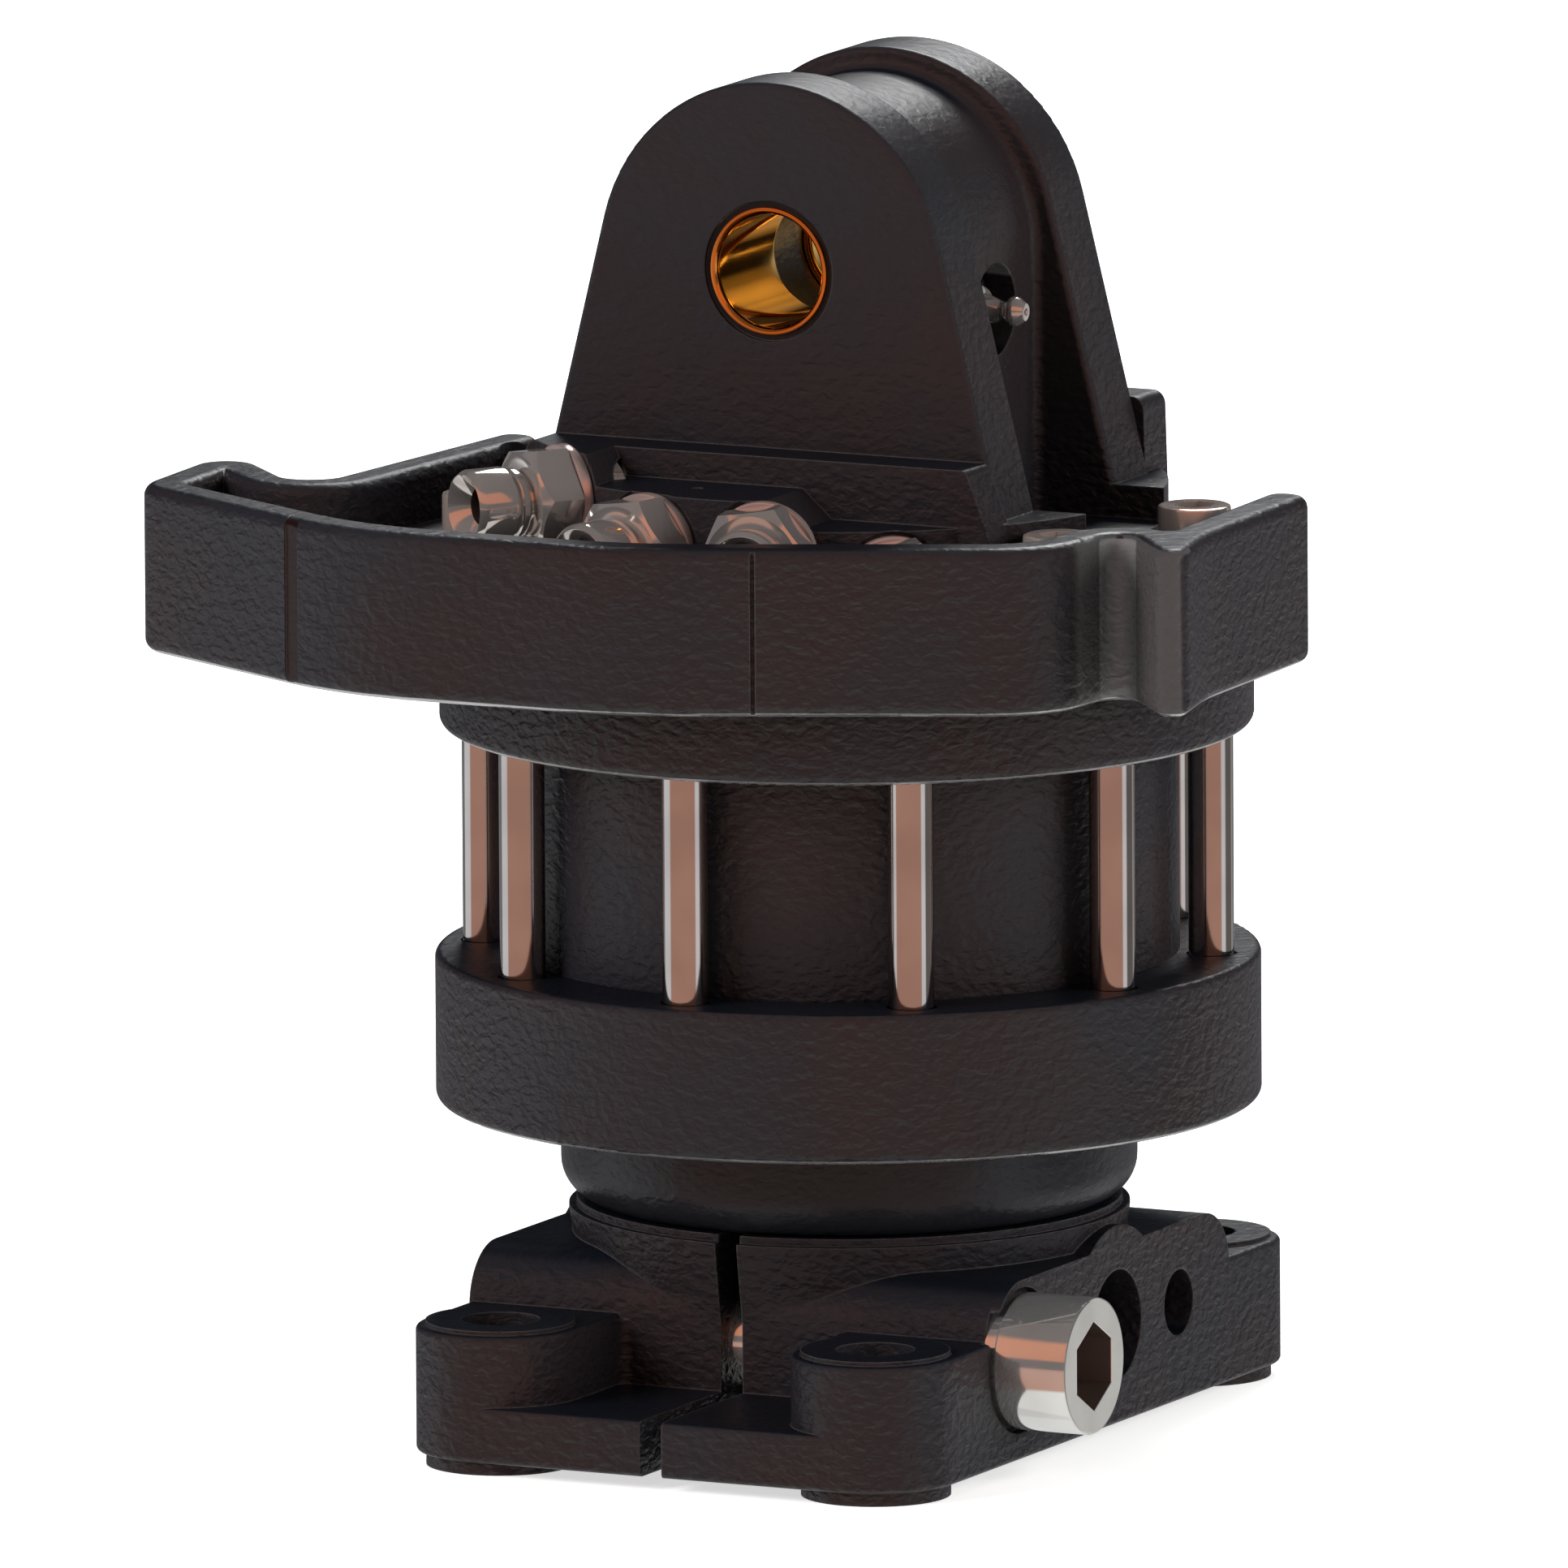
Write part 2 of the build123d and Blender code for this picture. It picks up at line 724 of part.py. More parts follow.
def build_hose_nipple(angle, height, reach):
    low = nipple_seat_r - nipple_thread_length
    seat = nipple_seat_r + washer_thickness
    hex_top = seat + nipple_hex_height
    neck_top = hex_top + nipple_neck_length
    body = disc(nipple_thread_r, low, seat) + Pos(0, 0, seat) * hexagon(nipple_hex_across, nipple_hex_height)
    corner_r = nipple_hex_across / math.sqrt(3)
    body &= turned(
        (
            (0, low),
            (corner_r, low),
            (corner_r, hex_top - nipple_hex_slope),
            (nipple_hex_across / 2 - nipple_hex_inset, hex_top),
            (0, hex_top),
        )
    )
    body += disc(nipple_neck_r, hex_top, neck_top)
    end = disc(nipple_thread_r, neck_top, reach)
    body += chamfer(end.edges().filter_by(GeomType.CIRCLE), nipple_edge)
    body -= disc(nipple_bore_r, low, reach)
    cone_low = reach - nipple_cone_depth
    points = ((0, cone_low), (nipple_bore_r, cone_low), (nipple_cone_r, reach), (0, reach))
    body -= turned(points)
    return radial(angle, head_z + height) * Rot(0, 0, nipple_turn) * body


def build_bonded_washers():
    inner = nipple_thread_r + 2 * seal_gap
    washer = ring(washer_r, inner, nipple_seat_r, nipple_seat_r + washer_thickness)
    return [radial(angle, head_z + height) * washer for angle, height, reach in nipple_places]


def past_hub(side, x_out, y_out):
    """Plan point given by how far it lies outside the hub, sideways and in front."""
    return (side * (hub_r + x_out), -(hub_r + y_out))


def guard_ring():
    """Closed plan outline of the hose guard, turned into a wall of even thickness."""
    corners = (
        guard_left_tail,
        guard_left_neck,
        guard_left_lobe,
        guard_left_bend,
        guard_front_left_bend,
        guard_front_right_bend,
        guard_right_bend,
        guard_right_neck,
        guard_right_lobe,
        guard_right_waist,
        guard_right_tail,
    )
    outline = FilletPolyline(
        *[past_hub(*corner) for corner in corners],
        radius=(
            0,
            guard_neck_round,
            guard_lobe_round,
            guard_left_round,
            guard_front_round,
            guard_front_round,
            guard_right_round,
            guard_notch_round,
            guard_tip_round,
            guard_waist_round,
            0,
        ),
        close=True,
    )
    outer = make_face(outline)
    wall = extrude(outer - offset(outer, -guard_wall), guard_height)
    wall = Pos(0, 0, head_z + guard_drop) * wall
    wall -= block(-beyond, 0, guard_end_left_y, beyond, 0, 2 * beyond)
    wall -= block(0, beyond, guard_end_right_y, beyond, 0, 2 * beyond)
    upright = wall.edges().filter_by(Axis.Z)
    ends = [e for e in upright if e.center().Y > guard_end_right_y - 0.1]
    wall = fillet(ends, guard_end_round)
    for rim in (0, -1):
        wall = fillet(wall.edges().group_by(Axis.Z)[rim], guard_edge_round)
    seam = (guard_seam_width, guard_seam_depth)
    wall -= guard_slot(guard_front_right_bend, guard_right_bend, guard_seam_x, *seam)
    strip = (guard_strip_width, guard_strip_depth)
    return wall - guard_slot(guard_left_bend, guard_front_left_bend, guard_strip_x, *strip)


def guard_slot(start, end, x, width, depth):
    """Upright slot in the guard's outer face, on its straight run between two bends."""
    start, end = past_hub(*start), past_hub(*end)
    slope = (end[1] - start[1]) / (end[0] - start[0])
    y = start[1] + (x - start[0]) * slope
    angle = math.degrees(math.atan(slope))
    place = Pos(x, y, head_z + guard_drop + guard_height / 2) * Rot(0, 0, angle)
    return place * Box(width, 2 * depth, guard_height)


def screw_shelf(corners):
    """Shelf from a line beside the ears out to its corners, listed from front to back."""
    outer = [past_hub(*corner) for corner in corners]
    inner_x = math.copysign(shelf_inner_x, outer[0][0])
    outline = Polyline((inner_x, outer[0][1]), *outer, (inner_x, outer[-1][1]), close=True)
    return Pos(0, 0, head_z + guard_drop) * extrude(make_face(outline), screw_shelf_height - guard_drop)


def pad_block(y_low, sides, edge_round):
    """Bench outside an ear, its half width and height listed from the foot up."""
    right = [(half, head_z + height) for half, height in sides]
    left = [(-half, z) for half, z in reversed(right)]
    face = Plane.XZ * make_face(Polyline(*right, *left, close=True))
    bench = Pos(0, y_low + pad_depth, 0) * extrude(face, pad_depth)
    return fillet(bench.edges().filter_by(Axis.Y).group_by(Axis.Z)[-1], edge_round)


def build_ear(y_low):
    taper = math.radians(ear_taper)
    touch_x = ear_r * math.cos(taper)
    touch_z = pin_z + ear_r * math.sin(taper)
    low_z = head_z + hub_height
    low_x = touch_x + (touch_z - low_z) * math.tan(taper)
    sides = make_face(
        Polyline((-touch_x, touch_z), (touch_x, touch_z), (low_x, low_z), (-low_x, low_z), close=True)
    )
    face = Plane.XZ * (sides + Pos(0, pin_z) * Circle(ear_r))
    ear = Pos(0, y_low + ear_thickness, 0) * extrude(face, ear_thickness)
    rim = [e for e in ear.edges() if e.center().Z > touch_z]
    return fillet(rim, ear_edge_round)


def web_rim(web_y, low_z, high_z):
    """Round where the web runs into the rear ear: up one side, over the top and down."""
    corner = Pos(web_r, web_y) * Rot(0, 0, -90) * corner_face(web_round)
    side = Pos(0, 0, low_z) * extrude(corner, high_z - low_z)
    over = Pos(0, 0, high_z) * revolve(corner, Axis.Y)
    return side + mirror(side, Plane.YZ) + over


def build_hanger_head():
    low_z = head_z + hub_height
    head = disc(hub_r, head_z, low_z)
    head += disc(upper_flange_r, head_z, head_z + front_deck_height)
    rear = disc(upper_flange_r, head_z, rear_deck_z)
    head += rear & block(-beyond, beyond, rear_deck_y, beyond, 0, rear_deck_z)
    head += screw_shelf(shelf_right)
    head += screw_shelf(shelf_left)
    head += guard_ring()
    front_sides = (
        (front_pad_low_half, screw_shelf_height - pad_root),
        (front_pad_low_half, front_pad_shoulder),
        (front_pad_top_half, front_pad_height),
    )
    rear_sides = ((rear_pad_low_half, rear_deck_height - pad_root), (rear_pad_top_half, rear_pad_height))
    head += pad_block(-pad_face_y, front_sides, front_pad_round)
    head += pad_block(lug_half, rear_sides, rear_pad_round)
    cap = disc(hub_r, low_z, head_z + front_pad_height)
    cap = cap & block(-hub_r, hub_r, -hub_r, -pad_face_y, low_z, 2 * beyond)
    step = Polyline(
        (step_left_x, head_z + front_pad_height),
        (step_left_x + step_left_slope, head_z + front_step_height),
        (step_right_x, head_z + front_step_height),
        (step_right_x + step_right_slope, low_z),
        (hub_r, low_z),
        (hub_r, head_z + front_pad_height),
        close=True,
    )
    cap -= extrude(Plane.XZ * make_face(step), hub_r)
    head += cap
    for y_low in (-lug_half, ear_inner_y):
        head += build_ear(y_low)
    pocket = block(web_r, hub_r + overrun, -ear_inner_y, ear_inner_y, ear_floor_z, low_z)
    head -= pocket
    head -= mirror(pocket, Plane.YZ)
    web_z = (ear_floor_z - overrun, pin_z)
    head += block(-web_r, web_r, -ear_inner_y, ear_inner_y, *web_z)
    head += along_y(web_r, -ear_inner_y, ear_inner_y, 0, pin_z)
    rim = web_rim(ear_inner_y, *web_z)
    head += rim
    head += mirror(rim, Plane.XZ)

    head -= disc(spigot_r + running_gap, head_z, head_z + spigot_bore_height)
    bush_r = spigot_r + bush_wall
    head -= disc(bush_r, head_z, upper_bush_z + upper_bush_length + seal_gap)
    head -= along_y(pin_bush_r, -lug_half, lug_half, 0, pin_z)
    mouth_r = pin_bush_r + pin_mouth_step
    head -= along_y(mouth_r, -lug_half, -lug_half + pin_mouth_depth, 0, pin_z)
    head -= along_y(mouth_r, lug_half - pin_mouth_depth, lug_half, 0, pin_z)
    grease_z = pin_z - grease_z_drop
    head -= along_x(grease_pocket_r, grease_pocket_x, web_r + overrun, 0, grease_z)
    thread_x = grease_pocket_x - grease_thread_length
    head -= along_x(grease_thread_r + thread_gap, thread_x, grease_pocket_x, 0, grease_z)
    head -= along_x(grease_hole_r, 0, thread_x, 0, grease_z)
    head -= Pos(*vent_place, 0) * disc(vent_r, head_z + front_step_height - vent_depth, 2 * beyond)
    for angle, height, reach in nipple_places:
        place = radial(angle, head_z + height)
        head -= place * disc(spot_face_r, nipple_seat_r, hub_r + overrun)
        thread_end = nipple_seat_r - nipple_thread_length - overrun
        head -= place * disc(nipple_thread_r + thread_gap, thread_end, hub_r)
        if height in spigot_port_heights:
            head -= place * disc(passage_r, spigot_r, hub_r)
    head_top = head_z + guard_drop + guard_height
    for seat, angles in ((shelf_z, shelf_screw_angles), (rear_deck_z, rear_screw_angles)):
        spot_face = Pos(0, -screw_circle_r, 0) * disc(screw_head_r + 2 * screw_hole_gap, seat, head_top)
        for hole in screw_clear_holes(head_z, seat, angles) + at_angles(spot_face, angles):
            head -= hole
    return head


def build_grease_nipple():
    hex_top = grease_hex_height
    cone_top = hex_top + grease_cone_height
    head_low = cone_top + grease_neck_length + grease_head_slope
    body = disc(grease_thread_r, 2 * seal_gap - grease_thread_length, 0)
    body += hexagon(grease_hex_across, hex_top)
    body += turned(
        (
            (0, hex_top),
            (grease_hex_across / 2 - grease_cone_inset, hex_top),
            (grease_neck_r, cone_top),
            (grease_neck_r, cone_top + grease_neck_length),
            (grease_head_r, head_low),
            (grease_head_r, head_low + grease_head_length),
            (grease_head_r / 2, grease_length),
            (0, grease_length),
        )
    )
    body -= disc(grease_bore_r, grease_length - grease_bore_depth, grease_length)
    return Pos(grease_pocket_x, 0, pin_z - grease_z_drop) * Rot(0, 90, 0) * body


def build_pin_bush(end):
    """Bush pressed in from one end of the lug, end is -1 at the front and 1 at the rear."""
    span = sorted((end * lug_half, end * (lug_half - pin_bush_length)))
    bush = along_y(pin_bush_r, *span, 0, pin_z)
    return bush - along_y(pin_r, *span, 0, pin_z)


def build_spigot_rings():
    inner = spigot_r - spigot_groove_depth + 0.05
    half = spigot_seal_width / 2
    return [ring(spigot_r, inner, head_z + h - half, head_z + h + half) for h in spigot_seal_heights]


def head_screws(seat_z, angles):
    length = seat_z - head_z + thread_depth - 1
    screw = Pos(0, -screw_circle_r, seat_z) * m10_screw(length)
    return at_angles(screw, angles)


pieces = {
    "hanger_head": build_hanger_head,
    "pin_bush_front": lambda: build_pin_bush(-1),
    "pin_bush_rear": lambda: build_pin_bush(1),
    "grease_nipple": build_grease_nipple,
    "bonded_washers": build_bonded_washers,
    "shelf_screws": lambda: head_screws(shelf_z, shelf_screw_angles),
    "rear_deck_screws": lambda: head_screws(rear_deck_z, rear_screw_angles),
    "upper_flange": build_upper_flange,
    "stator_ring": build_stator_ring,
    "lower_flange": build_lower_flange,
    "tie_screws": build_tie_screws,
    "dowel_pins": build_dowel_pins,
    "flange_o_rings": build_flange_o_rings,
    "head_o_ring": lambda: cord(head_cord_r, head_z - cord_groove_depth / 2),
    "upper_bush": lambda: ring(
        spigot_r + bush_wall, spigot_r + running_gap, upper_bush_z, upper_bush_z + upper_bush_length
    ),
    "lower_bush": build_lower_bush,
    "shaft_seal": build_shaft_seal,
    "lower_race": lambda: ring(race_outer_r, race_inner_r, bush_top_z, race_top_z),
    "roller_cage": build_roller_cage,
    "rollers": lambda: spaced(roller_blank(roller_r, roller_length), roller_count),
    "upper_race": build_upper_race,
    "drive_shaft": build_drive_shaft,
    "rotor_core": build_rotor_core,
    "rotor_keys": build_rotor_keys,
    "vanes": build_vanes,
    "vane_springs": build_vane_springs,
    "tab_washer": build_tab_washer,
    "lock_nut": build_lock_nut,
    "spigot_rings": build_spigot_rings,
    "foot_clamp": build_foot_clamp,
    "clamp_screw": build_clamp_screw,
}
for number, place in enumerate(nipple_places, 1):
    pieces[f"hose_nipple_{number}"] = lambda place=place: build_hose_nipple(*place)

os.makedirs("parts", exist_ok=True)
for name, build in pieces.items():
    shape = build()
    if isinstance(shape, list):
        shape = Compound(children=[solid for part in shape for solid in part.solids()])
    export_step(shape, f"parts/{name}.step")
    print(name)
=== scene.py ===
import json
import math

import bmesh
import bpy
from mathutils import Matrix, Vector


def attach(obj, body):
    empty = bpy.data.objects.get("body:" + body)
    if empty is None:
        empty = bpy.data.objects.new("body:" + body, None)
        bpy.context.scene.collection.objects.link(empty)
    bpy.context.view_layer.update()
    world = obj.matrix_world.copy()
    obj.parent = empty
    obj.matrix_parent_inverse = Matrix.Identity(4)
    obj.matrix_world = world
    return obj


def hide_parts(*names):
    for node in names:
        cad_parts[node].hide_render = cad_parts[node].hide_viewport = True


# Hydraulic rotator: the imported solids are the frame, this file gives them their looks.
# Lengths in the dictionaries are millimetres and angles degrees, the scene itself is in metres.
mm = 0.001

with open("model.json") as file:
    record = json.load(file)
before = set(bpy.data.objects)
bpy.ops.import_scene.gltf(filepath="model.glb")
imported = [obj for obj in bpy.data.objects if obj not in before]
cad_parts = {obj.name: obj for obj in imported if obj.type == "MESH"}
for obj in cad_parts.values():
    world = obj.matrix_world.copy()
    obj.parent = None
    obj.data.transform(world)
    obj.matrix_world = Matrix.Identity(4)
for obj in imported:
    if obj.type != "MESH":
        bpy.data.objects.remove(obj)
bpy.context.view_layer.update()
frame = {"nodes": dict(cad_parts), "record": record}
nodes = frame["nodes"]
bodyOf = {node: body for body, members in frame["record"]["behaviour"]["bodies"].items() for node in members}
print("frame loaded:", len(nodes), "nodes")


def addNode(tree, kind, inputs=None, **settings):
    node = tree.nodes.new(kind)
    for key, value in settings.items():
        setattr(node, key, value)
    for key, value in (inputs or {}).items():
        if isinstance(value, bpy.types.NodeSocket):
            tree.links.new(value, node.inputs[key])
        else:
            node.inputs[key].default_value = value
    return node


def mathNode(tree, operation, *values):
    return addNode(tree, "ShaderNodeMath", dict(enumerate(values)), operation=operation).outputs[0]


def either(tree, *masks):
    # the highest of several masks
    highest = masks[0]
    for mask in masks[1:]:
        highest = mathNode(tree, "MAXIMUM", highest, mask)
    return highest


def spread(tree, value, low, high, outLow=0.0, outHigh=1.0):
    # smooth step from low to high
    inputs = {"Value": value, "From Min": low, "From Max": high, "To Min": outLow, "To Max": outHigh}
    return addNode(tree, "ShaderNodeMapRange", inputs, interpolation_type="SMOOTHSTEP").outputs["Result"]


def blendValues(tree, factor, a, b):
    return addNode(tree, "ShaderNodeMix", {0: factor, 2: a, 3: b}, data_type="FLOAT").outputs[0]


def blendColors(tree, factor, a, b):
    node = addNode(tree, "ShaderNodeMix", data_type="RGBA")
    for socket, value in ((node.inputs[0], factor), (node.inputs[6], a), (node.inputs[7], b)):
        if isinstance(value, bpy.types.NodeSocket):
            tree.links.new(value, socket)
        else:
            socket.default_value = value if isinstance(value, float) else (*value, 1.0)
    return node.outputs[2]


def colorStops(tree, value, stops):
    ramp = addNode(tree, "ShaderNodeValToRGB", {"Fac": value})
    elements = ramp.color_ramp.elements
    while len(elements) > 1:
        elements.remove(elements[-1])
    elements[0].position, elements[0].color = stops[0][0], (*stops[0][1], 1.0)
    for place, color in stops[1:]:
        elements.new(place).color = (*color, 1.0)
    return ramp.outputs["Color"]


def newMaterial(name, **values):
    # a fresh material with a Principled shader, its coordinates and its plain values set
    material = bpy.data.materials.new(name)
    material.use_nodes = True
    tree = material.node_tree
    shader = tree.nodes["Principled BSDF"]
    for key, value in values.items():
        shader.inputs[key].default_value = value
    place = addNode(tree, "ShaderNodeTexCoord").outputs["Object"]
    return material, tree, shader, place


def wireShader(tree, shader, color, rough, normal):
    for label, socket in (("Base Color", color), ("Roughness", rough), ("Normal", normal)):
        tree.links.new(socket, shader.inputs[label])


def noise(tree, place, scale, detail=2.0, roughness=0.5, distortion=0.0):
    inputs = {
        "Vector": place, "Scale": scale, "Detail": detail, "Roughness": roughness, "Distortion": distortion,
    }
    return addNode(tree, "ShaderNodeTexNoise", inputs).outputs["Fac"]


def stretch(tree, place, scale):
    return addNode(tree, "ShaderNodeMapping", {"Vector": place, "Scale": scale}).outputs["Vector"]


def between(tree, value, low, high, soft):
    rise = spread(tree, value, low - soft, low + soft)
    fall = spread(tree, value, high - soft, high + soft, 1.0, 0.0)
    return mathNode(tree, "MULTIPLY", rise, fall)


def band(tree, value, limits, soft):
    # 1 between two limits in millimetres
    return between(tree, value, limits[0] * mm, limits[1] * mm, soft * mm)


def distance(tree, spot, centre):
    goal = tuple(c * mm for c in centre)
    return addNode(tree, "ShaderNodeVectorMath", {0: spot, 1: goal}, operation="DISTANCE").outputs["Value"]


def disc(tree, spot, centre, inner, outer):
    # 1 nearer to the centre than the inner radius, 0 past the outer one
    return spread(tree, distance(tree, spot, centre), inner * mm, outer * mm, 1.0, 0.0)


castLook = {
    "color": (0.0180, 0.0138, 0.0150),
    "coolColor": (0.0145, 0.0152, 0.0195),
    "specular": 0.4,
    "roughness": 0.37,
    "roughPatch": (0.3, 0.7),
    "roughRange": (-0.04, 0.05),
    "grainStretch": (0.8, 0.8, 1.3),
    "grainSize": 2.2,
    "grainNoise": (1.6, 0.5, 0.35),  # detail, roughness and distortion
    "grainHeight": 0.78,
    "fineSize": 0.45,
    "fineNoise": (2.0, 0.6),
    "fineHeight": 0.07,
    "fineLeast": 0.4,
    "fineRough": 0.06,
    "swellSize": 18.0,
    "swellDetail": 1.0,
    "swellHeight": 0.14,
    "patchNoise": (18.0, 3.0, 0.6),  # scale, detail and roughness
    "coolPatch": (0.35, 0.68),
    "edgeRound": 0.7,
    "edgeHighlightTurn": (0.76, 0.93),  # how far the rounded normal agrees with the flat one where an edge gets a painted highlight line
    "edgeHighlightColor": (0.075, 0.068, 0.068),
    # painted shade: upward faces are darkened to blue-black
    "shadedTopFacing": (0.75, 0.92),
    "topShadeColor": (0.0045, 0.0065, 0.0105),
    "calmFacing": (0.3, 0.8),
    "calmGrain": 0.4,
    "rimFacing": (0.60, 0.72),  # how far a rim faces down where its paint is rubbed to bare metal, partly wear and partly a painted highlight line
    "flatFacing": (0.965, 0.985),
    "rimSmooth": 0.8,
    "rimBareAndHighlightColor": (0.62, 0.62, 0.62),
    "rimRoughness": 0.22,
    "barePatch": (0.25, 0.5),
    "bareLeast": 0.6,
}


def castPaint(name, grain=1.0, gloss=0.0, paintedMarks=None, rubbedRimHighlight=0.0, cool=0.0):
    # black paint over sand-cast grain, rubbed bare on the lower rims as wear and painted highlight; the marks
    # paint light and shade where their mask is 1
    look = castLook
    material, tree, shader, place = newMaterial(name, **{"Specular IOR Level": look["specular"]})
    flow = stretch(tree, place, look["grainStretch"])
    warp = noise(tree, flow, 1 / (look["grainSize"] * mm), *look["grainNoise"])
    grit = noise(tree, place, 1 / (look["fineSize"] * mm), *look["fineNoise"])
    swell = noise(tree, place, 1 / (look["swellSize"] * mm), look["swellDetail"])
    patch = noise(tree, place, *look["patchNoise"])
    coarse = mathNode(tree, "MULTIPLY", warp, look["grainHeight"] * mm * grain)
    fine = mathNode(tree, "MULTIPLY", grit, look["fineHeight"] * mm * max(grain, look["fineLeast"]))
    broad = mathNode(tree, "MULTIPLY", swell, look["swellHeight"] * mm * grain)
    height = mathNode(tree, "ADD", mathNode(tree, "ADD", coarse, fine), broad)
    color = blendColors(tree, spread(tree, patch, *look["coolPatch"], cool), look["color"], look["coolColor"])
    # painted light and shade from the marks, where their mask is 1
    if paintedMarks:
        mask, tone, smooth, relief = paintedMarks(tree, place)
        color = blendColors(tree, mask, color, tone)
        height = mathNode(tree, "MULTIPLY", height, spread(tree, smooth, 0.0, 1.0, 1.0, relief))
    normal = addNode(tree, "ShaderNodeNewGeometry").outputs["Normal"]
    upward = addNode(tree, "ShaderNodeSeparateXYZ", {0: normal}).outputs["Z"]
    down = mathNode(tree, "MULTIPLY", upward, -1.0)
    rim = spread(tree, down, *look["rimFacing"])
    rim = mathNode(tree, "MULTIPLY", rim, spread(tree, down, *look["flatFacing"], 1.0, 0.0))
    coated = mathNode(tree, "SUBTRACT", 1.0, mathNode(tree, "MULTIPLY", rim, look["rimSmooth"]))
    height = mathNode(tree, "MULTIPLY", height, coated)
    calm = spread(tree, upward, *look["calmFacing"], 1.0, look["calmGrain"])
    height = mathNode(tree, "MULTIPLY", height, calm)
    rounded = addNode(tree, "ShaderNodeBevel", {"Radius": look["edgeRound"] * mm}, samples=6).outputs[0]
    turned = addNode(tree, "ShaderNodeVectorMath", {0: rounded, 1: normal}, operation="DOT_PRODUCT")
    # painted highlight: a lighter line along convex and concave edges alike
    edge = spread(tree, turned.outputs["Value"], *look["edgeHighlightTurn"], 1.0, 0.0)
    # painted shade on the upward faces
    color = blendColors(tree, spread(tree, upward, *look["shadedTopFacing"]), color, look["topShadeColor"])
    color = blendColors(tree, edge, color, look["edgeHighlightColor"])
    inputs = {"Height": height, "Distance": 1.0, "Strength": 1.0, "Normal": rounded}
    bump = addNode(tree, "ShaderNodeBump", inputs).outputs[0]
    low, high = (look["roughness"] - gloss + change for change in look["roughRange"])
    rough = spread(tree, patch, *look["roughPatch"], low, high)
    rough = mathNode(tree, "ADD", rough, mathNode(tree, "MULTIPLY", grit, look["fineRough"]))
    # downward rims turn to bright bare metal: partly wear, partly a painted highlight line
    if rubbedRimHighlight:
        bareRimHighlight = spread(tree, patch, *look["barePatch"], rubbedRimHighlight * look["bareLeast"], rubbedRimHighlight)
        bareRimHighlight = mathNode(tree, "MULTIPLY", rim, bareRimHighlight)
        color = blendColors(tree, bareRimHighlight, color, look["rimBareAndHighlightColor"])
        rough = blendValues(tree, bareRimHighlight, rough, look["rimRoughness"])
        tree.links.new(bareRimHighlight, shader.inputs["Metallic"])
    wireShader(tree, shader, color, rough, bump)
    return material


headMarks = {
    "stripX": (-85.95, -82.05),
    "stripSoft": 0.2,
    "stripBehind": (-92.0, -90.0),
    # painted reflection in the strip across the guard
    "stripReflectionColor": (0.0105, 0.0022, 0.0018),
    "mouthZ": 259.0,
    "mouthRadius": (15.35, 15.65),
    "mouthShadeColor": (0.004, 0.0045, 0.006),
    "waistFacing": (0.769, 0.638, 0.0),
    "waistAt": (39.4, 42.2),  # how far out the waist's inner wall lies along that direction
    "waistY": (-78.0, -39.0),
    "waistSoft": 2.0,
    # painted light: the waist and neck colours lift the shade in the guard's waist
    "waistLightColor": (0.062, 0.060, 0.060),
    "wallSoft": 0.4,
    "flankX": (84.6, 88.0),
    "flankY": (-62.0, -44.0),
    "flankSoft": 2.5,
    "tip": ((107.3, -58.9, 0.0), 4.5, 5.0),  # the waist's round corners: centre, inner and outer reach
    "tipFacing": (0.75, 0.96),
    "neck": ((89.9, -49.7, 0.0), 3.78, 4.2),
    "neckLightColor": (0.16, 0.156, 0.156),
    "calmZ": (210.0, 222.0),  # the lug above is cast smoother than the guard
    "calm": 0.6,
    "relief": 0.25,
}


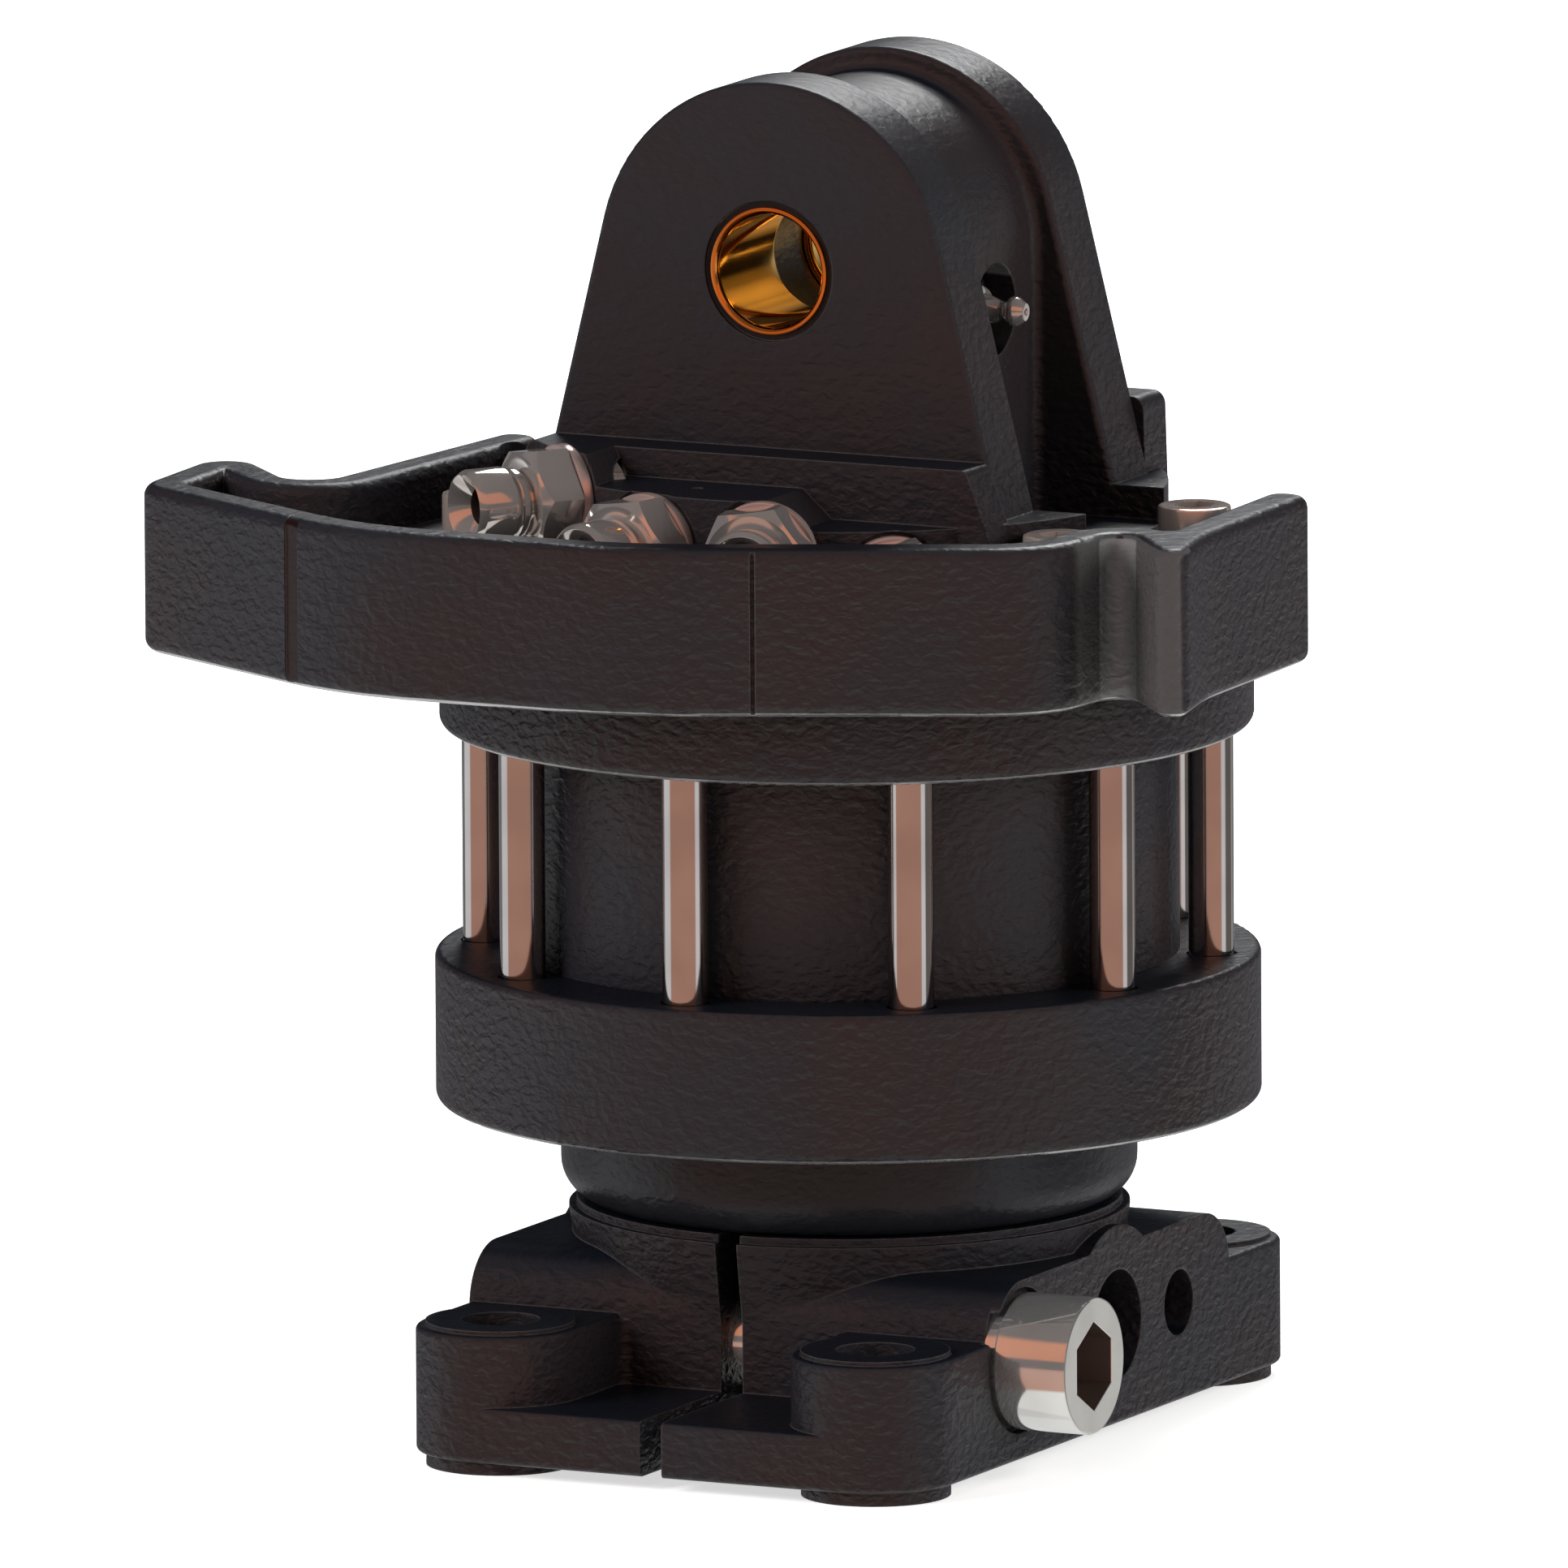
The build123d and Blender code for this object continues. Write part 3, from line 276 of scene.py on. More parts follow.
def headPaintedLight(tree, place):
    # painted reflection in the smooth strip across the guard, painted shade in the mouths of the pin bore
    # and painted light on the guard's waist
    m = headMarks
    split = addNode(tree, "ShaderNodeSeparateXYZ", {0: place}).outputs
    x, y, z = split["X"], split["Y"], split["Z"]
    behind, before = (edge * mm for edge in m["stripBehind"])
    # painted reflection: a dark red strip across the guard, with its relief smoothed
    strip = band(tree, x, m["stripX"], m["stripSoft"])
    strip = mathNode(tree, "MULTIPLY", strip, spread(tree, y, behind, before, 1.0, 0.0))
    side = addNode(tree, "ShaderNodeCombineXYZ", {"X": x, "Z": z}).outputs[0]
    # painted shade in the mouths of the pin bore
    mouth = disc(tree, side, (0, 0, m["mouthZ"]), *m["mouthRadius"])
    out = addNode(tree, "ShaderNodeVectorMath", {0: place, 1: m["waistFacing"]}, operation="DOT_PRODUCT")
    wall = band(tree, out.outputs["Value"], m["waistAt"], m["wallSoft"])
    wall = mathNode(tree, "MULTIPLY", wall, band(tree, y, m["waistY"], m["waistSoft"]))
    flank = band(tree, x, m["flankX"], m["wallSoft"])
    flank = mathNode(tree, "MULTIPLY", flank, band(tree, y, m["flankY"], m["flankSoft"]))
    plan = addNode(tree, "ShaderNodeCombineXYZ", {"X": x, "Y": y}).outputs[0]
    normal = addNode(tree, "ShaderNodeNewGeometry").outputs["Normal"]
    across = addNode(tree, "ShaderNodeSeparateXYZ", {0: normal}).outputs["X"]
    tip = disc(tree, plan, *m["tip"])
    tip = mathNode(tree, "MULTIPLY", tip, spread(tree, across, *m["tipFacing"], 1.0, 0.0))
    neck = disc(tree, plan, *m["neck"])
    # painted light over the waist's walls, flank, tip and neck
    waist = either(tree, wall, flank, tip, neck)
    tone = blendColors(tree, mouth, m["stripReflectionColor"], m["mouthShadeColor"])
    tone = blendColors(tree, waist, tone, blendColors(tree, neck, m["waistLightColor"], m["neckLightColor"]))
    dark = either(tree, strip, mouth)
    lugLow, lugHigh = (edge * mm for edge in m["calmZ"])
    smooth = either(tree, dark, spread(tree, z, lugLow, lugHigh, 0.0, m["calm"]))
    return either(tree, dark, waist), tone, smooth, m["relief"]


platingLook = {
    "smearStretch": (1.0, 1.0, 0.35),
    "smearNoise": (170.0, 4.0, 0.6),
    "smearRange": (0.3, 0.75),
    "cloudNoise": (60.0, 2.0),
    "cloudRange": (0.35, 0.7),
    "cloudShade": 0.88,
    "ringNoise": (1.0, 2.0, 0.7),
    "ringHeight": 0.003,
}


def platedSteel(name, color, roughness, wear=0.05, marks=(0.0, 0.0, 0.0), recess=None, metallic=1.0):
    # marks stretch the turning rings along one axis; recess gives a duller tone where its mask is 1
    look = platingLook
    material, tree, shader, place = newMaterial(name, Metallic=metallic)
    smear = noise(tree, stretch(tree, place, look["smearStretch"]), *look["smearNoise"])
    cloud = noise(tree, place, *look["cloudNoise"])
    rings = noise(tree, stretch(tree, place, marks), *look["ringNoise"])
    rough = mathNode(tree, "ADD", spread(tree, smear, *look["smearRange"], 0.0, wear), roughness)
    shade = tuple(c * look["cloudShade"] for c in color)
    tone = blendColors(tree, spread(tree, cloud, *look["cloudRange"]), color, shade)
    if recess:
        mask, dull, dullRough = recess(tree, place)
        tone = blendColors(tree, mask, tone, dull)
        rough = blendValues(tree, mask, rough, dullRough)
    inputs = {"Height": rings, "Distance": look["ringHeight"] * mm, "Strength": 1.0}
    bump = addNode(tree, "ShaderNodeBump", inputs)
    wireShader(tree, shader, tone, rough, bump.outputs[0])
    return material


clampSocket = {
    "below": 81.2,
    "axis": (-45.6, 25.0),
    "radius": 9.95,
    "color": (0.30, 0.235, 0.205),
    "roughness": 0.38,
}


def socketShadeTone(tree, place):
    # the hexagon socket of the clamp screw is rougher than its turned head, and painted darker as shade in
    # the recess
    s = clampSocket
    split = addNode(tree, "ShaderNodeSeparateXYZ", {0: place}).outputs
    end = addNode(tree, "ShaderNodeCombineXYZ", {"Y": split["Y"], "Z": split["Z"]}).outputs[0]
    inside = mathNode(tree, "LESS_THAN", distance(tree, end, (0, *s["axis"])), s["radius"] * mm)
    deep = mathNode(tree, "LESS_THAN", split["X"], s["below"] * mm)
    return mathNode(tree, "MULTIPLY", inside, deep), s["color"], s["roughness"]


bushRing = {"from": 37.28, "color": (1.0, 0.36, 0.07), "roughness": 0.34}


def ringTone(tree, place):
    # the freshly cut end faces of the bushes
    split = addNode(tree, "ShaderNodeSeparateXYZ", {0: place}).outputs
    reach = mathNode(tree, "ABSOLUTE", split["Y"])
    end = mathNode(tree, "GREATER_THAN", reach, bushRing["from"] * mm)
    return end, bushRing["color"], bushRing["roughness"]


innerLook = {
    "detail": (3.0, 0.6),
    "shade": 0.7,
    "roughPatch": (0.3, 0.7),
    "roughRange": (-0.06, 0.08),
    "height": 0.02,
}


def plainInner(name, color, roughness, metallic, grainScale):
    # parts that show only through gaps and from below
    look = innerLook
    material, tree, shader, place = newMaterial(name, Metallic=metallic)
    grain = noise(tree, place, grainScale, *look["detail"])
    tone = blendColors(tree, grain, color, tuple(c * look["shade"] for c in color))
    low, high = (roughness + change for change in look["roughRange"])
    rough = spread(tree, grain, *look["roughPatch"], low, high)
    inputs = {"Height": grain, "Distance": look["height"] * mm, "Strength": 1.0}
    bump = addNode(tree, "ShaderNodeBump", inputs)
    wireShader(tree, shader, tone, rough, bump.outputs[0])
    return material


headPaint = castPaint("hangerPaint", paintedMarks=headPaintedLight, rubbedRimHighlight=0.85)
flangePaint = castPaint("flangePaint", rubbedRimHighlight=0.7)
sandPaint = castPaint("sandCastPaint")
ringPaint = castPaint("ringPaint", grain=0.8)
bowlPaint = castPaint("bowlPaint", grain=0.35, gloss=0.04, cool=1.0)
screwPlating = platedSteel("screwPlating", (0.57, 0.54, 0.53), 0.09, marks=(0.0, 0.0, 2500.0))
shelfPlating = platedSteel("shelfScrewPlating", (0.62, 0.52, 0.47), 0.16, metallic=0.7)
clampPlating = platedSteel(
    "clampScrewPlating", (0.80, 0.795, 0.78), 0.06, marks=(2500.0, 0.0, 0.0), recess=socketShadeTone, metallic=0.88
)
nipplePlating = platedSteel("nipplePlating", (0.66, 0.61, 0.58), 0.07, metallic=0.82)
# painted shade: near-black steel for the inside of the nipple bores
nippleBoreShade = platedSteel("nippleBoreShade", (0.05, 0.035, 0.03), 0.4, metallic=0.6)
washerPlating = platedSteel("washerPlating", (0.58, 0.45, 0.42), 0.2, metallic=0.7)
bushBronze = platedSteel("bushBronze", (0.90, 0.53, 0.13), 0.07, wear=0.02, recess=ringTone)
sealRubber = plainInner("sealRubber", (0.012, 0.012, 0.012), 0.55, 0.0, 400.0)
innerSteel = plainInner("groundSteel", (0.42, 0.42, 0.42), 0.3, 1.0, 250.0)
innerBronze = plainInner("innerBronze", (0.62, 0.34, 0.10), 0.3, 1.0, 250.0)
print("materials made")


def finishMesh(mesh, sharpAngle=30.0):
    # smooth shading with sharp edges above an angle in degrees
    mesh.polygons.foreach_set("use_smooth", [True] * len(mesh.polygons))
    mesh.set_sharp_from_angle(angle=math.radians(sharpAngle))
    mesh.update()


def link(name, mesh, material):
    piece = bpy.data.objects.new(name, mesh)
    bpy.context.scene.collection.objects.link(piece)
    mesh.materials.clear()
    mesh.materials.append(material)
    return piece


def loopPoint(loop, angle):
    # a loop is (kind, height, size) with kind round or hex, or (slope, height, radius, across, drop)
    kind, height, size = loop[:3]
    if kind == "round":
        return height, size
    across = size if kind == "hex" else loop[3]
    sector = math.radians(60)
    hexRadius = across / 2 / math.cos(angle % sector - sector / 2)
    if kind == "hex":
        return height, hexRadius
    return height - max(0.0, hexRadius - size) * loop[4], hexRadius


def meshFrom(build, name, sharpAngle=30.0):
    mesh = bpy.data.meshes.new(name)
    build.to_mesh(mesh)
    build.free()
    finishMesh(mesh, sharpAngle)
    return mesh


def turnedMesh(name, loops, place, sides=96, closed=False):
    # joins loops round the local Z axis, outside first to last; open ends get a pole
    build = bmesh.new()
    rows = []
    for loop in loops:
        row = []
        for i in range(sides):
            angle = 2 * math.pi * i / sides
            height, radius = loopPoint(loop, angle)
            row.append(build.verts.new((radius * math.cos(angle), radius * math.sin(angle), height)))
        rows.append(row)
    pairs = list(zip(rows, rows[1:]))
    if closed:
        pairs.append((rows[-1], rows[0]))
    for low, high in pairs:
        for i in range(sides):
            j = (i + 1) % sides
            build.faces.new((low[i], low[j], high[j], high[i]))
    if not closed:
        for row, order in ((rows[0], -1), (rows[-1], 1)):
            pole = build.verts.new((0, 0, row[0].co.z))
            for i in range(sides):
                pair = (row[i], row[(i + 1) % sides])[::order]
                build.faces.new((*pair, pole))
    bmesh.ops.recalc_face_normals(build, faces=build.faces)
    build.transform(Matrix.Scale(mm, 4))
    build.transform(place)
    return meshFrom(build, name)


def radialPlace(angle, height):
    # local Z points out from the rotation axis, angle 0 is the hose side
    turn = Matrix.Rotation(math.radians(angle), 4, "Z") @ Matrix.Rotation(math.radians(90), 4, "X")
    return Matrix.Translation((0, 0, height * mm)) @ turn


def alongX(x, y, z):
    return Matrix.Translation((x * mm, y * mm, z * mm)) @ Matrix.Rotation(math.radians(90), 4, "Y")


def seat(piece, node):
    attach(piece, bodyOf[node])
    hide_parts(node)
    return piece


castingSizes = {"mergeReach": 0.002, "leastEdge": 0.0001, "sharpAngle": 32.0, "evenWeight": 100}


def dressCasting(name, node, material):
    # a merged copy of the casting, so that its rounds shade smoothly
    build = bmesh.new()
    build.from_mesh(nodes[node].data)
    bmesh.ops.remove_doubles(build, verts=build.verts, dist=castingSizes["mergeReach"] * mm)
    bmesh.ops.dissolve_degenerate(build, edges=build.edges, dist=castingSizes["leastEdge"] * mm)
    mesh = bpy.data.meshes.new(name)
    build.to_mesh(mesh)
    build.free()
    if "custom_normal" in mesh.attributes:
        mesh.attributes.remove(mesh.attributes["custom_normal"])
    finishMesh(mesh, castingSizes["sharpAngle"])
    piece = link(name, mesh, material)
    even = piece.modifiers.new("evenShading", "WEIGHTED_NORMAL")
    even.mode = "FACE_AREA"
    even.weight = castingSizes["evenWeight"]
    even.keep_sharp = True
    return seat(piece, node)


dressCasting("hangerCasting", "hanger_head", headPaint)
dressCasting("upperFlangeCasting", "upper_flange", flangePaint)
dressCasting("statorRingCasting", "stator_ring", ringPaint)
dressCasting("lowerFlangeCasting", "lower_flange", flangePaint)
dressCasting("shaftCasting", "drive_shaft", bowlPaint)
dressCasting("footCasting", "foot_clamp", sandPaint)
print("castings dressed")

nippleSizes = {
    "angles": (-34.5, -11.5, 11.5, 34.5),
    "heights": (209.5, 202.0, 202.0, 194.5),
    "ends": (95.0, 95.0, 89.3, 88.8),
    "seat": 69.1,
    "threadLength": 11.0,
    "threadRadius": 8.25,
    "hexAcross": 22.0,
    "hexTurn": 8.0,
    "hexHeight": 9.5,
    "hexChamfer": 0.5,
    "hexSlope": 0.78,
    "threadEnd": 0.8,
    "rootFlare": 1.6,
    "collarRadius": 7.9,
    "grooveRadius": 6.7,
    "coneRadius": 7.1,
    "boreRadius": 4.0,
    "boreDepth": 28.0,
    "boreSlack": 0.06,
    "washerRadius": 12.0,
    "washerHole": 8.45,
    "washerThickness": 2.5,
}


def nippleLoops(end):
    s = nippleSizes
    flat = s["hexAcross"] / 2 - s["hexChamfer"]
    foot, low = s["seat"] + s["washerThickness"], s["seat"] - s["threadLength"]
    groove, collar, thread = s["grooveRadius"], s["collarRadius"], s["threadRadius"]
    top = foot + s["hexHeight"]
    return [
        ("round", low, thread - s["threadEnd"]),
        ("round", low + s["threadEnd"], thread),
        ("round", foot - 0.2, thread),
        ("round", foot, thread + s["rootFlare"]),
        ("round", foot, flat - 0.6),
        ("hex", foot + 0.3, s["hexAcross"]),
        ("slope", top, flat, s["hexAcross"], s["hexSlope"]),
        ("round", top, flat - 0.15),
        ("round", top, groove + 0.5),
        ("round", top + 0.15, groove + 0.1),
        ("round", top + 0.7, groove),
        ("round", top + 0.95, groove + 0.25),
        ("round", top + 1.2, collar - 0.35),
        ("round", top + 1.7, collar),
        ("round", top + 3.0, collar),
        ("round", top + 3.35, collar - 0.3),
        ("round", top + 3.55, collar - 0.75),
        ("round", top + 4.05, collar - 0.75),
        ("round", top + 4.2, collar - 0.4),
        ("round", top + 4.7, thread),
        ("round", end - 1.6, thread),
        ("round", end - 1.3, thread - 0.12),
        ("round", end - 0.12, s["coneRadius"] + 0.35),
        ("round", end, s["coneRadius"] + 0.15),
        ("round", end - 0.1, s["coneRadius"]),
        ("round", end - 4.0, s["boreRadius"] + 0.1),
        ("round", end - 4.2, s["boreRadius"]),
        ("round", end - s["boreDepth"], s["boreRadius"]),
    ]


def placeNipple(number, angle, height, end):
    place = radialPlace(angle, height) @ Matrix.Rotation(math.radians(nippleSizes["hexTurn"]), 4, "Z")
    name = f"hoseNipple{number}"
    mesh = turnedMesh(name, nippleLoops(end), place)
    piece = link(name, mesh, nipplePlating)
    mesh.materials.append(nippleBoreShade)
    back = place.inverted()
    boreReach = (nippleSizes["boreRadius"] + nippleSizes["boreSlack"]) * mm
    # faces inside the bore take the painted shade
    for face in mesh.polygons:
        x, y, _ = back @ face.center
        if math.hypot(x, y) < boreReach:
            face.material_index = 1
    seat(piece, f"hose_nipple_{number}")


for number, row in enumerate(zip(nippleSizes["angles"], nippleSizes["heights"], nippleSizes["ends"]), 1):
    placeNipple(number, *row)


def joinMeshes(name, meshes):
    build = bmesh.new()
    for mesh in meshes:
        build.from_mesh(mesh)
        bpy.data.meshes.remove(mesh)
    return meshFrom(build, name)


def washerLoops():
    inner, outer, low = nippleSizes["washerHole"], nippleSizes["washerRadius"], nippleSizes["seat"]
    high = low + nippleSizes["washerThickness"]
    return [
        ("round", low + 0.3, outer),
        ("round", high - 0.35, outer),
        ("round", high - 0.1, outer - 0.12),
        ("round", high, outer - 0.4),
        ("round", high, inner),
        ("round", low, inner),
        ("round", low, outer - 0.3),
    ]


washers = [
    turnedMesh("washer", washerLoops(), radialPlace(angle, height), closed=True)
    for angle, height in zip(nippleSizes["angles"], nippleSizes["heights"])
]
mesh = joinMeshes("bondedWashers", washers)
seat(link("bondedWashers", mesh, washerPlating), "bonded_washers")
print("hose nipples made")

clampScrewSizes = {
    "seatX": 61.3,
    "y": -45.6,
    "z": 25.0,
    "length": 110.0,
    "shankRadius": 10.0,
    "headRadius": 15.0,
    "headHeight": 20.0,
    "sunk": 2.5,
    "rim": 0.7,
    "edge": 0.45,
    "hexAcross": 17.0,
    "hexDepth": 10.0,
    "end": 1.2,
    "neck": 0.6,
    "drillTip": (2.2, 1.0),
    "sides": 144,
}


def clampScrewLoops():
    s = clampScrewSizes
    shank, head, top = s["shankRadius"], s["headRadius"], s["headHeight"]
    floor = top - s["hexDepth"]
    corner = s["hexAcross"] / math.sqrt(3)
    return [
        ("round", -s["length"], shank - s["end"]),
        ("round", -s["length"] + s["end"], shank),
        ("round", -s["neck"], shank),
        ("round", 0.0, shank + s["neck"]),
        ("round", 0.0, head - s["rim"]),
        ("round", s["sunk"], head - s["rim"]),
        ("round", s["sunk"] + s["rim"], head),
        ("round", top - s["edge"], head),
        ("round", top - s["edge"] * 0.3, head - s["edge"] * 0.3),
        ("round", top, head - s["edge"]),
        ("round", top, head - s["edge"] - 0.15),
        ("round", top, corner + 0.45),
        ("hex", top, s["hexAcross"] + 0.5),
        ("hex", top, s["hexAcross"] + 0.24),
        ("hex", top - 0.12, s["hexAcross"]),
        ("hex", top - 0.5, s["hexAcross"]),
        ("hex", floor, s["hexAcross"]),
        ("round", floor - 0.2, s["hexAcross"] / 2 - 0.3),
        ("round", floor - s["drillTip"][0], s["drillTip"][1]),
    ]


place = alongX(clampScrewSizes["seatX"], clampScrewSizes["y"], clampScrewSizes["z"])
mesh = turnedMesh("clampScrewSteel", clampScrewLoops(), place, clampScrewSizes["sides"])
seat(link("clampScrewSteel", mesh, clampPlating), "clamp_screw")

greaseSizes = {
    "x": 29.0,
    "z": 247.5,
    "threadLength": 4.8,
    "threadRadius": 3.0,
    "threadEnd": 0.5,
    "hexAcross": 9.0,
    "hexHeight": 5.0,
    "hexChamfer": 0.2,
    "hexSlope": 0.6,
    "barrelRadius": 3.6,
    "neckRadius": 2.1,
    "headRadius": 3.3,
    "tipRadius": 1.9,
    "holeRadius": 0.5,
    "holeDepth": 3.0,
    "length": 15.0,
    "sides": 48,
}


def greaseLoops():
    s = greaseSizes
    hexTop, length, head = s["hexHeight"], s["length"], s["headRadius"]
    flat = s["hexAcross"] / 2 - s["hexChamfer"]
    return [
        ("round", -s["threadLength"], s["threadRadius"] - s["threadEnd"]),
        ("round", -s["threadLength"] + s["threadEnd"], s["threadRadius"]),
        ("round", 0.0, s["threadRadius"]),
        ("round", 0.0, flat),
        ("hex", 0.25, s["hexAcross"]),
        ("slope", hexTop, flat, s["hexAcross"], s["hexSlope"]),
        ("round", hexTop, flat - 0.1),
        ("round", hexTop + 0.05, s["barrelRadius"]),
        ("round", hexTop + 0.5, s["barrelRadius"] - 0.15),
        ("round", hexTop + 3.9, s["neckRadius"] + 0.1),
        ("round", hexTop + 4.2, s["neckRadius"]),
        ("round", hexTop + 5.1, s["neckRadius"]),
        ("round", hexTop + 5.5, s["neckRadius"] + 0.2),
        ("round", hexTop + 6.4, head - 0.2),
        ("round", hexTop + 6.8, head),
        ("round", hexTop + 7.7, head),
        ("round", hexTop + 8.1, head - 0.12),
        ("round", length - 0.35, s["tipRadius"] + 0.2),
        ("round", length - 0.08, s["tipRadius"]),
        ("round", length, s["tipRadius"] - 0.3),
        ("round", length - 0.05, s["holeRadius"] + 0.35),
        ("round", length - 0.4, s["holeRadius"]),
        ("round", length - s["holeDepth"], s["holeRadius"]),
    ]


place = alongX(greaseSizes["x"], 0, greaseSizes["z"])
mesh = turnedMesh("greaseNippleSteel", greaseLoops(), place, greaseSizes["sides"])
seat(link("greaseNippleSteel", mesh, nipplePlating), "grease_nipple")

bushSizes = {
    "z": 259.0,
    "outer": 14.0,
    "bore": 12.5,
    "end": 37.5,
    "length": 29.5,
    "lip": 0.25,
    "flare": 0.6,
    "sides": 144,
}


def bushLoops():
    s = bushSizes
    outer, bore, end = s["outer"], s["bore"], s["end"]
    start = end - s["length"]
    lip, flare = s["lip"], s["flare"]
    return [
        ("round", start + lip, outer),
        ("round", end - lip, outer),
        ("round", end - lip * 0.3, outer - lip * 0.3),
        ("round", end, outer - lip),
        ("round", end, bore + flare + 0.2),
        ("round", end - 0.15, bore + flare),
        ("round", end - flare, bore + flare * 0.3),
        ("round", end - flare * 2, bore),
        ("round", end - flare * 2 - 0.4, bore),
        ("round", start + flare * 2 + 0.4, bore),
        ("round", start + flare * 2, bore),
        ("round", start + flare, bore + flare * 0.3),
        ("round", start, bore + flare),
        ("round", start, outer - lip),
    ]


for name, node, turn in (("pinBushFront", "pin_bush_front", 0), ("pinBushRear", "pin_bush_rear", 180)):
    place = radialPlace(turn, bushSizes["z"])
    mesh = turnedMesh(name, bushLoops(), place, bushSizes["sides"], closed=True)
    seat(link(name, mesh, bushBronze), node)
print("clamp screw, grease nipple and bushes made")

capScrewSizes = {
    "circle": 80.0,
    "shank": 5.0,
    "head": 8.0,
    "headHeight": 10.0,
    "hexAcross": 8.0,
    "hexDepth": 5.0,
    "edge": 0.6,
    "end": 0.9,
    "neck": 0.4,
    "rim": 0.3,
    "drillTip": (1.2, 0.6),
    "sides": 48,
}


def capScrewMesh(length):
    # one socket head screw, seat at zero, shank pointing down
    s = capScrewSizes
    shank, head, top = s["shank"], s["head"], s["headHeight"]
    floor = top - s["hexDepth"]
    loops = [
        ("round", -length, shank - s["end"]),
        ("round", -length + s["end"], shank),
        ("round", -s["neck"], shank),
        ("round", 0.0, shank + s["neck"]),
        ("round", 0.0, head - s["rim"]),
        ("round", s["rim"], head),
        ("round", top - s["edge"], head),
        ("round", top - s["edge"] * 0.3, head - s["edge"] * 0.3),
        ("round", top, head - s["edge"]),
        ("round", top, head - s["edge"] - 0.15),
        ("round", top, s["hexAcross"] / math.sqrt(3) + 0.35),
        ("hex", top, s["hexAcross"] + 0.2),
        ("hex", top - 0.1, s["hexAcross"]),
        ("hex", floor, s["hexAcross"]),
        ("round", floor - 0.1, s["hexAcross"] / 2 - 0.3),
        ("round", floor - s["drillTip"][0], s["drillTip"][1]),
    ]
    return turnedMesh("capScrew", loops, Matrix.Identity(4), s["sides"])


def screwPatternTree():
    # one screw turned and set on each of several points of a circle; the jump parts the two halves of the row
    tree = bpy.data.node_groups.new("screwPattern", "GeometryNodeTree")
    ends = tree.interface
    ends.new_socket("Screw", in_out="INPUT", socket_type="NodeSocketGeometry")
    for label, kind in (
        ("Count", "NodeSocketInt"),
        ("Circle Radius", "NodeSocketFloat"),
        ("Seat Height", "NodeSocketFloat"),
        ("First Angle", "NodeSocketFloat"),
        ("Step Angle", "NodeSocketFloat"),
        ("Jump Angle", "NodeSocketFloat"),
        ("Head Down", "NodeSocketBool"),
        ("Turn Seed", "NodeSocketInt"),
        ("Finish", "NodeSocketMaterial"),
    ):
        ends.new_socket(label, in_out="INPUT", socket_type=kind)
    ends.new_socket("Screws", in_out="OUTPUT", socket_type="NodeSocketGeometry")
    given = tree.nodes.new("NodeGroupInput").outputs
    result = tree.nodes.new("NodeGroupOutput")
    index = addNode(tree, "GeometryNodeInputIndex").outputs[0]
    half = mathNode(tree, "DIVIDE", given["Count"], 2.0)
    past = mathNode(tree, "SUBTRACT", 1.0, mathNode(tree, "LESS_THAN", index, half))
    swing = mathNode(tree, "MULTIPLY_ADD", given["Step Angle"], index, given["First Angle"])
    angle = mathNode(tree, "MULTIPLY_ADD", given["Jump Angle"], past, swing)
    x = mathNode(tree, "MULTIPLY", given["Circle Radius"], mathNode(tree, "SINE", angle))
    y = mathNode(tree, "MULTIPLY", given["Circle Radius"], mathNode(tree, "COSINE", angle))
    front = mathNode(tree, "MULTIPLY", y, -1.0)
    spot = addNode(tree, "ShaderNodeCombineXYZ", {"X": x, "Y": front, "Z": given["Seat Height"]})
    points = addNode(tree, "GeometryNodePoints", {"Count": given["Count"], "Position": spot.outputs[0]})
    rollInputs = {"Min": 0.0, "Max": math.pi / 3, "Seed": given["Turn Seed"]}
    roll = addNode(tree, "FunctionNodeRandomValue", rollInputs, data_type="FLOAT")
    flip = mathNode(tree, "MULTIPLY", given["Head Down"], math.pi)
    # the second output of the random value node is its plain number
    spin = mathNode(tree, "ADD", angle, roll.outputs[1])
    turn = addNode(tree, "ShaderNodeCombineXYZ", {"X": flip, "Z": spin})
    seats = {"Points": points.outputs[0], "Instance": given["Screw"], "Rotation": turn.outputs[0]}
    placed = addNode(tree, "GeometryNodeInstanceOnPoints", seats)
    real = addNode(tree, "GeometryNodeRealizeInstances", {"Geometry": placed.outputs[0]})
    finish = {"Geometry": real.outputs[0], "Material": given["Finish"]}
    dressed = addNode(tree, "GeometryNodeSetMaterial", finish)
    tree.links.new(dressed.outputs[0], result.inputs["Screws"])
    return tree


screwTree = screwPatternTree()


def screwSet(name, node, length, plating, count, seatHeight, angles, headDown, seed):
    # seat height in millimetres; the first, step and jump angles in degrees
    first, step, jump = (math.radians(a) for a in angles)
    given = {
        "Count": count,
        "Circle Radius": capScrewSizes["circle"] * mm,
        "Seat Height": seatHeight * mm,
        "First Angle": first,
        "Step Angle": step,
        "Jump Angle": jump,
        "Head Down": headDown,
        "Turn Seed": seed,
        "Finish": plating,
    }
    master = link(name + "Master", capScrewMesh(length), plating)
    pattern = master.modifiers.new("screws", "NODES")
    pattern.node_group = screwTree
    for item in screwTree.interface.items_tree:
        if item.in_out == "INPUT" and item.name in given:
            pattern[item.identifier] = given[item.name]
    graph = bpy.context.evaluated_depsgraph_get()
    mesh = bpy.data.meshes.new_from_object(master.evaluated_get(graph))
    master.modifiers.remove(pattern)
    bpy.data.objects.remove(master)
    mesh.name = name
    finishMesh(mesh)
    return seat(link(name, mesh, plating), node)


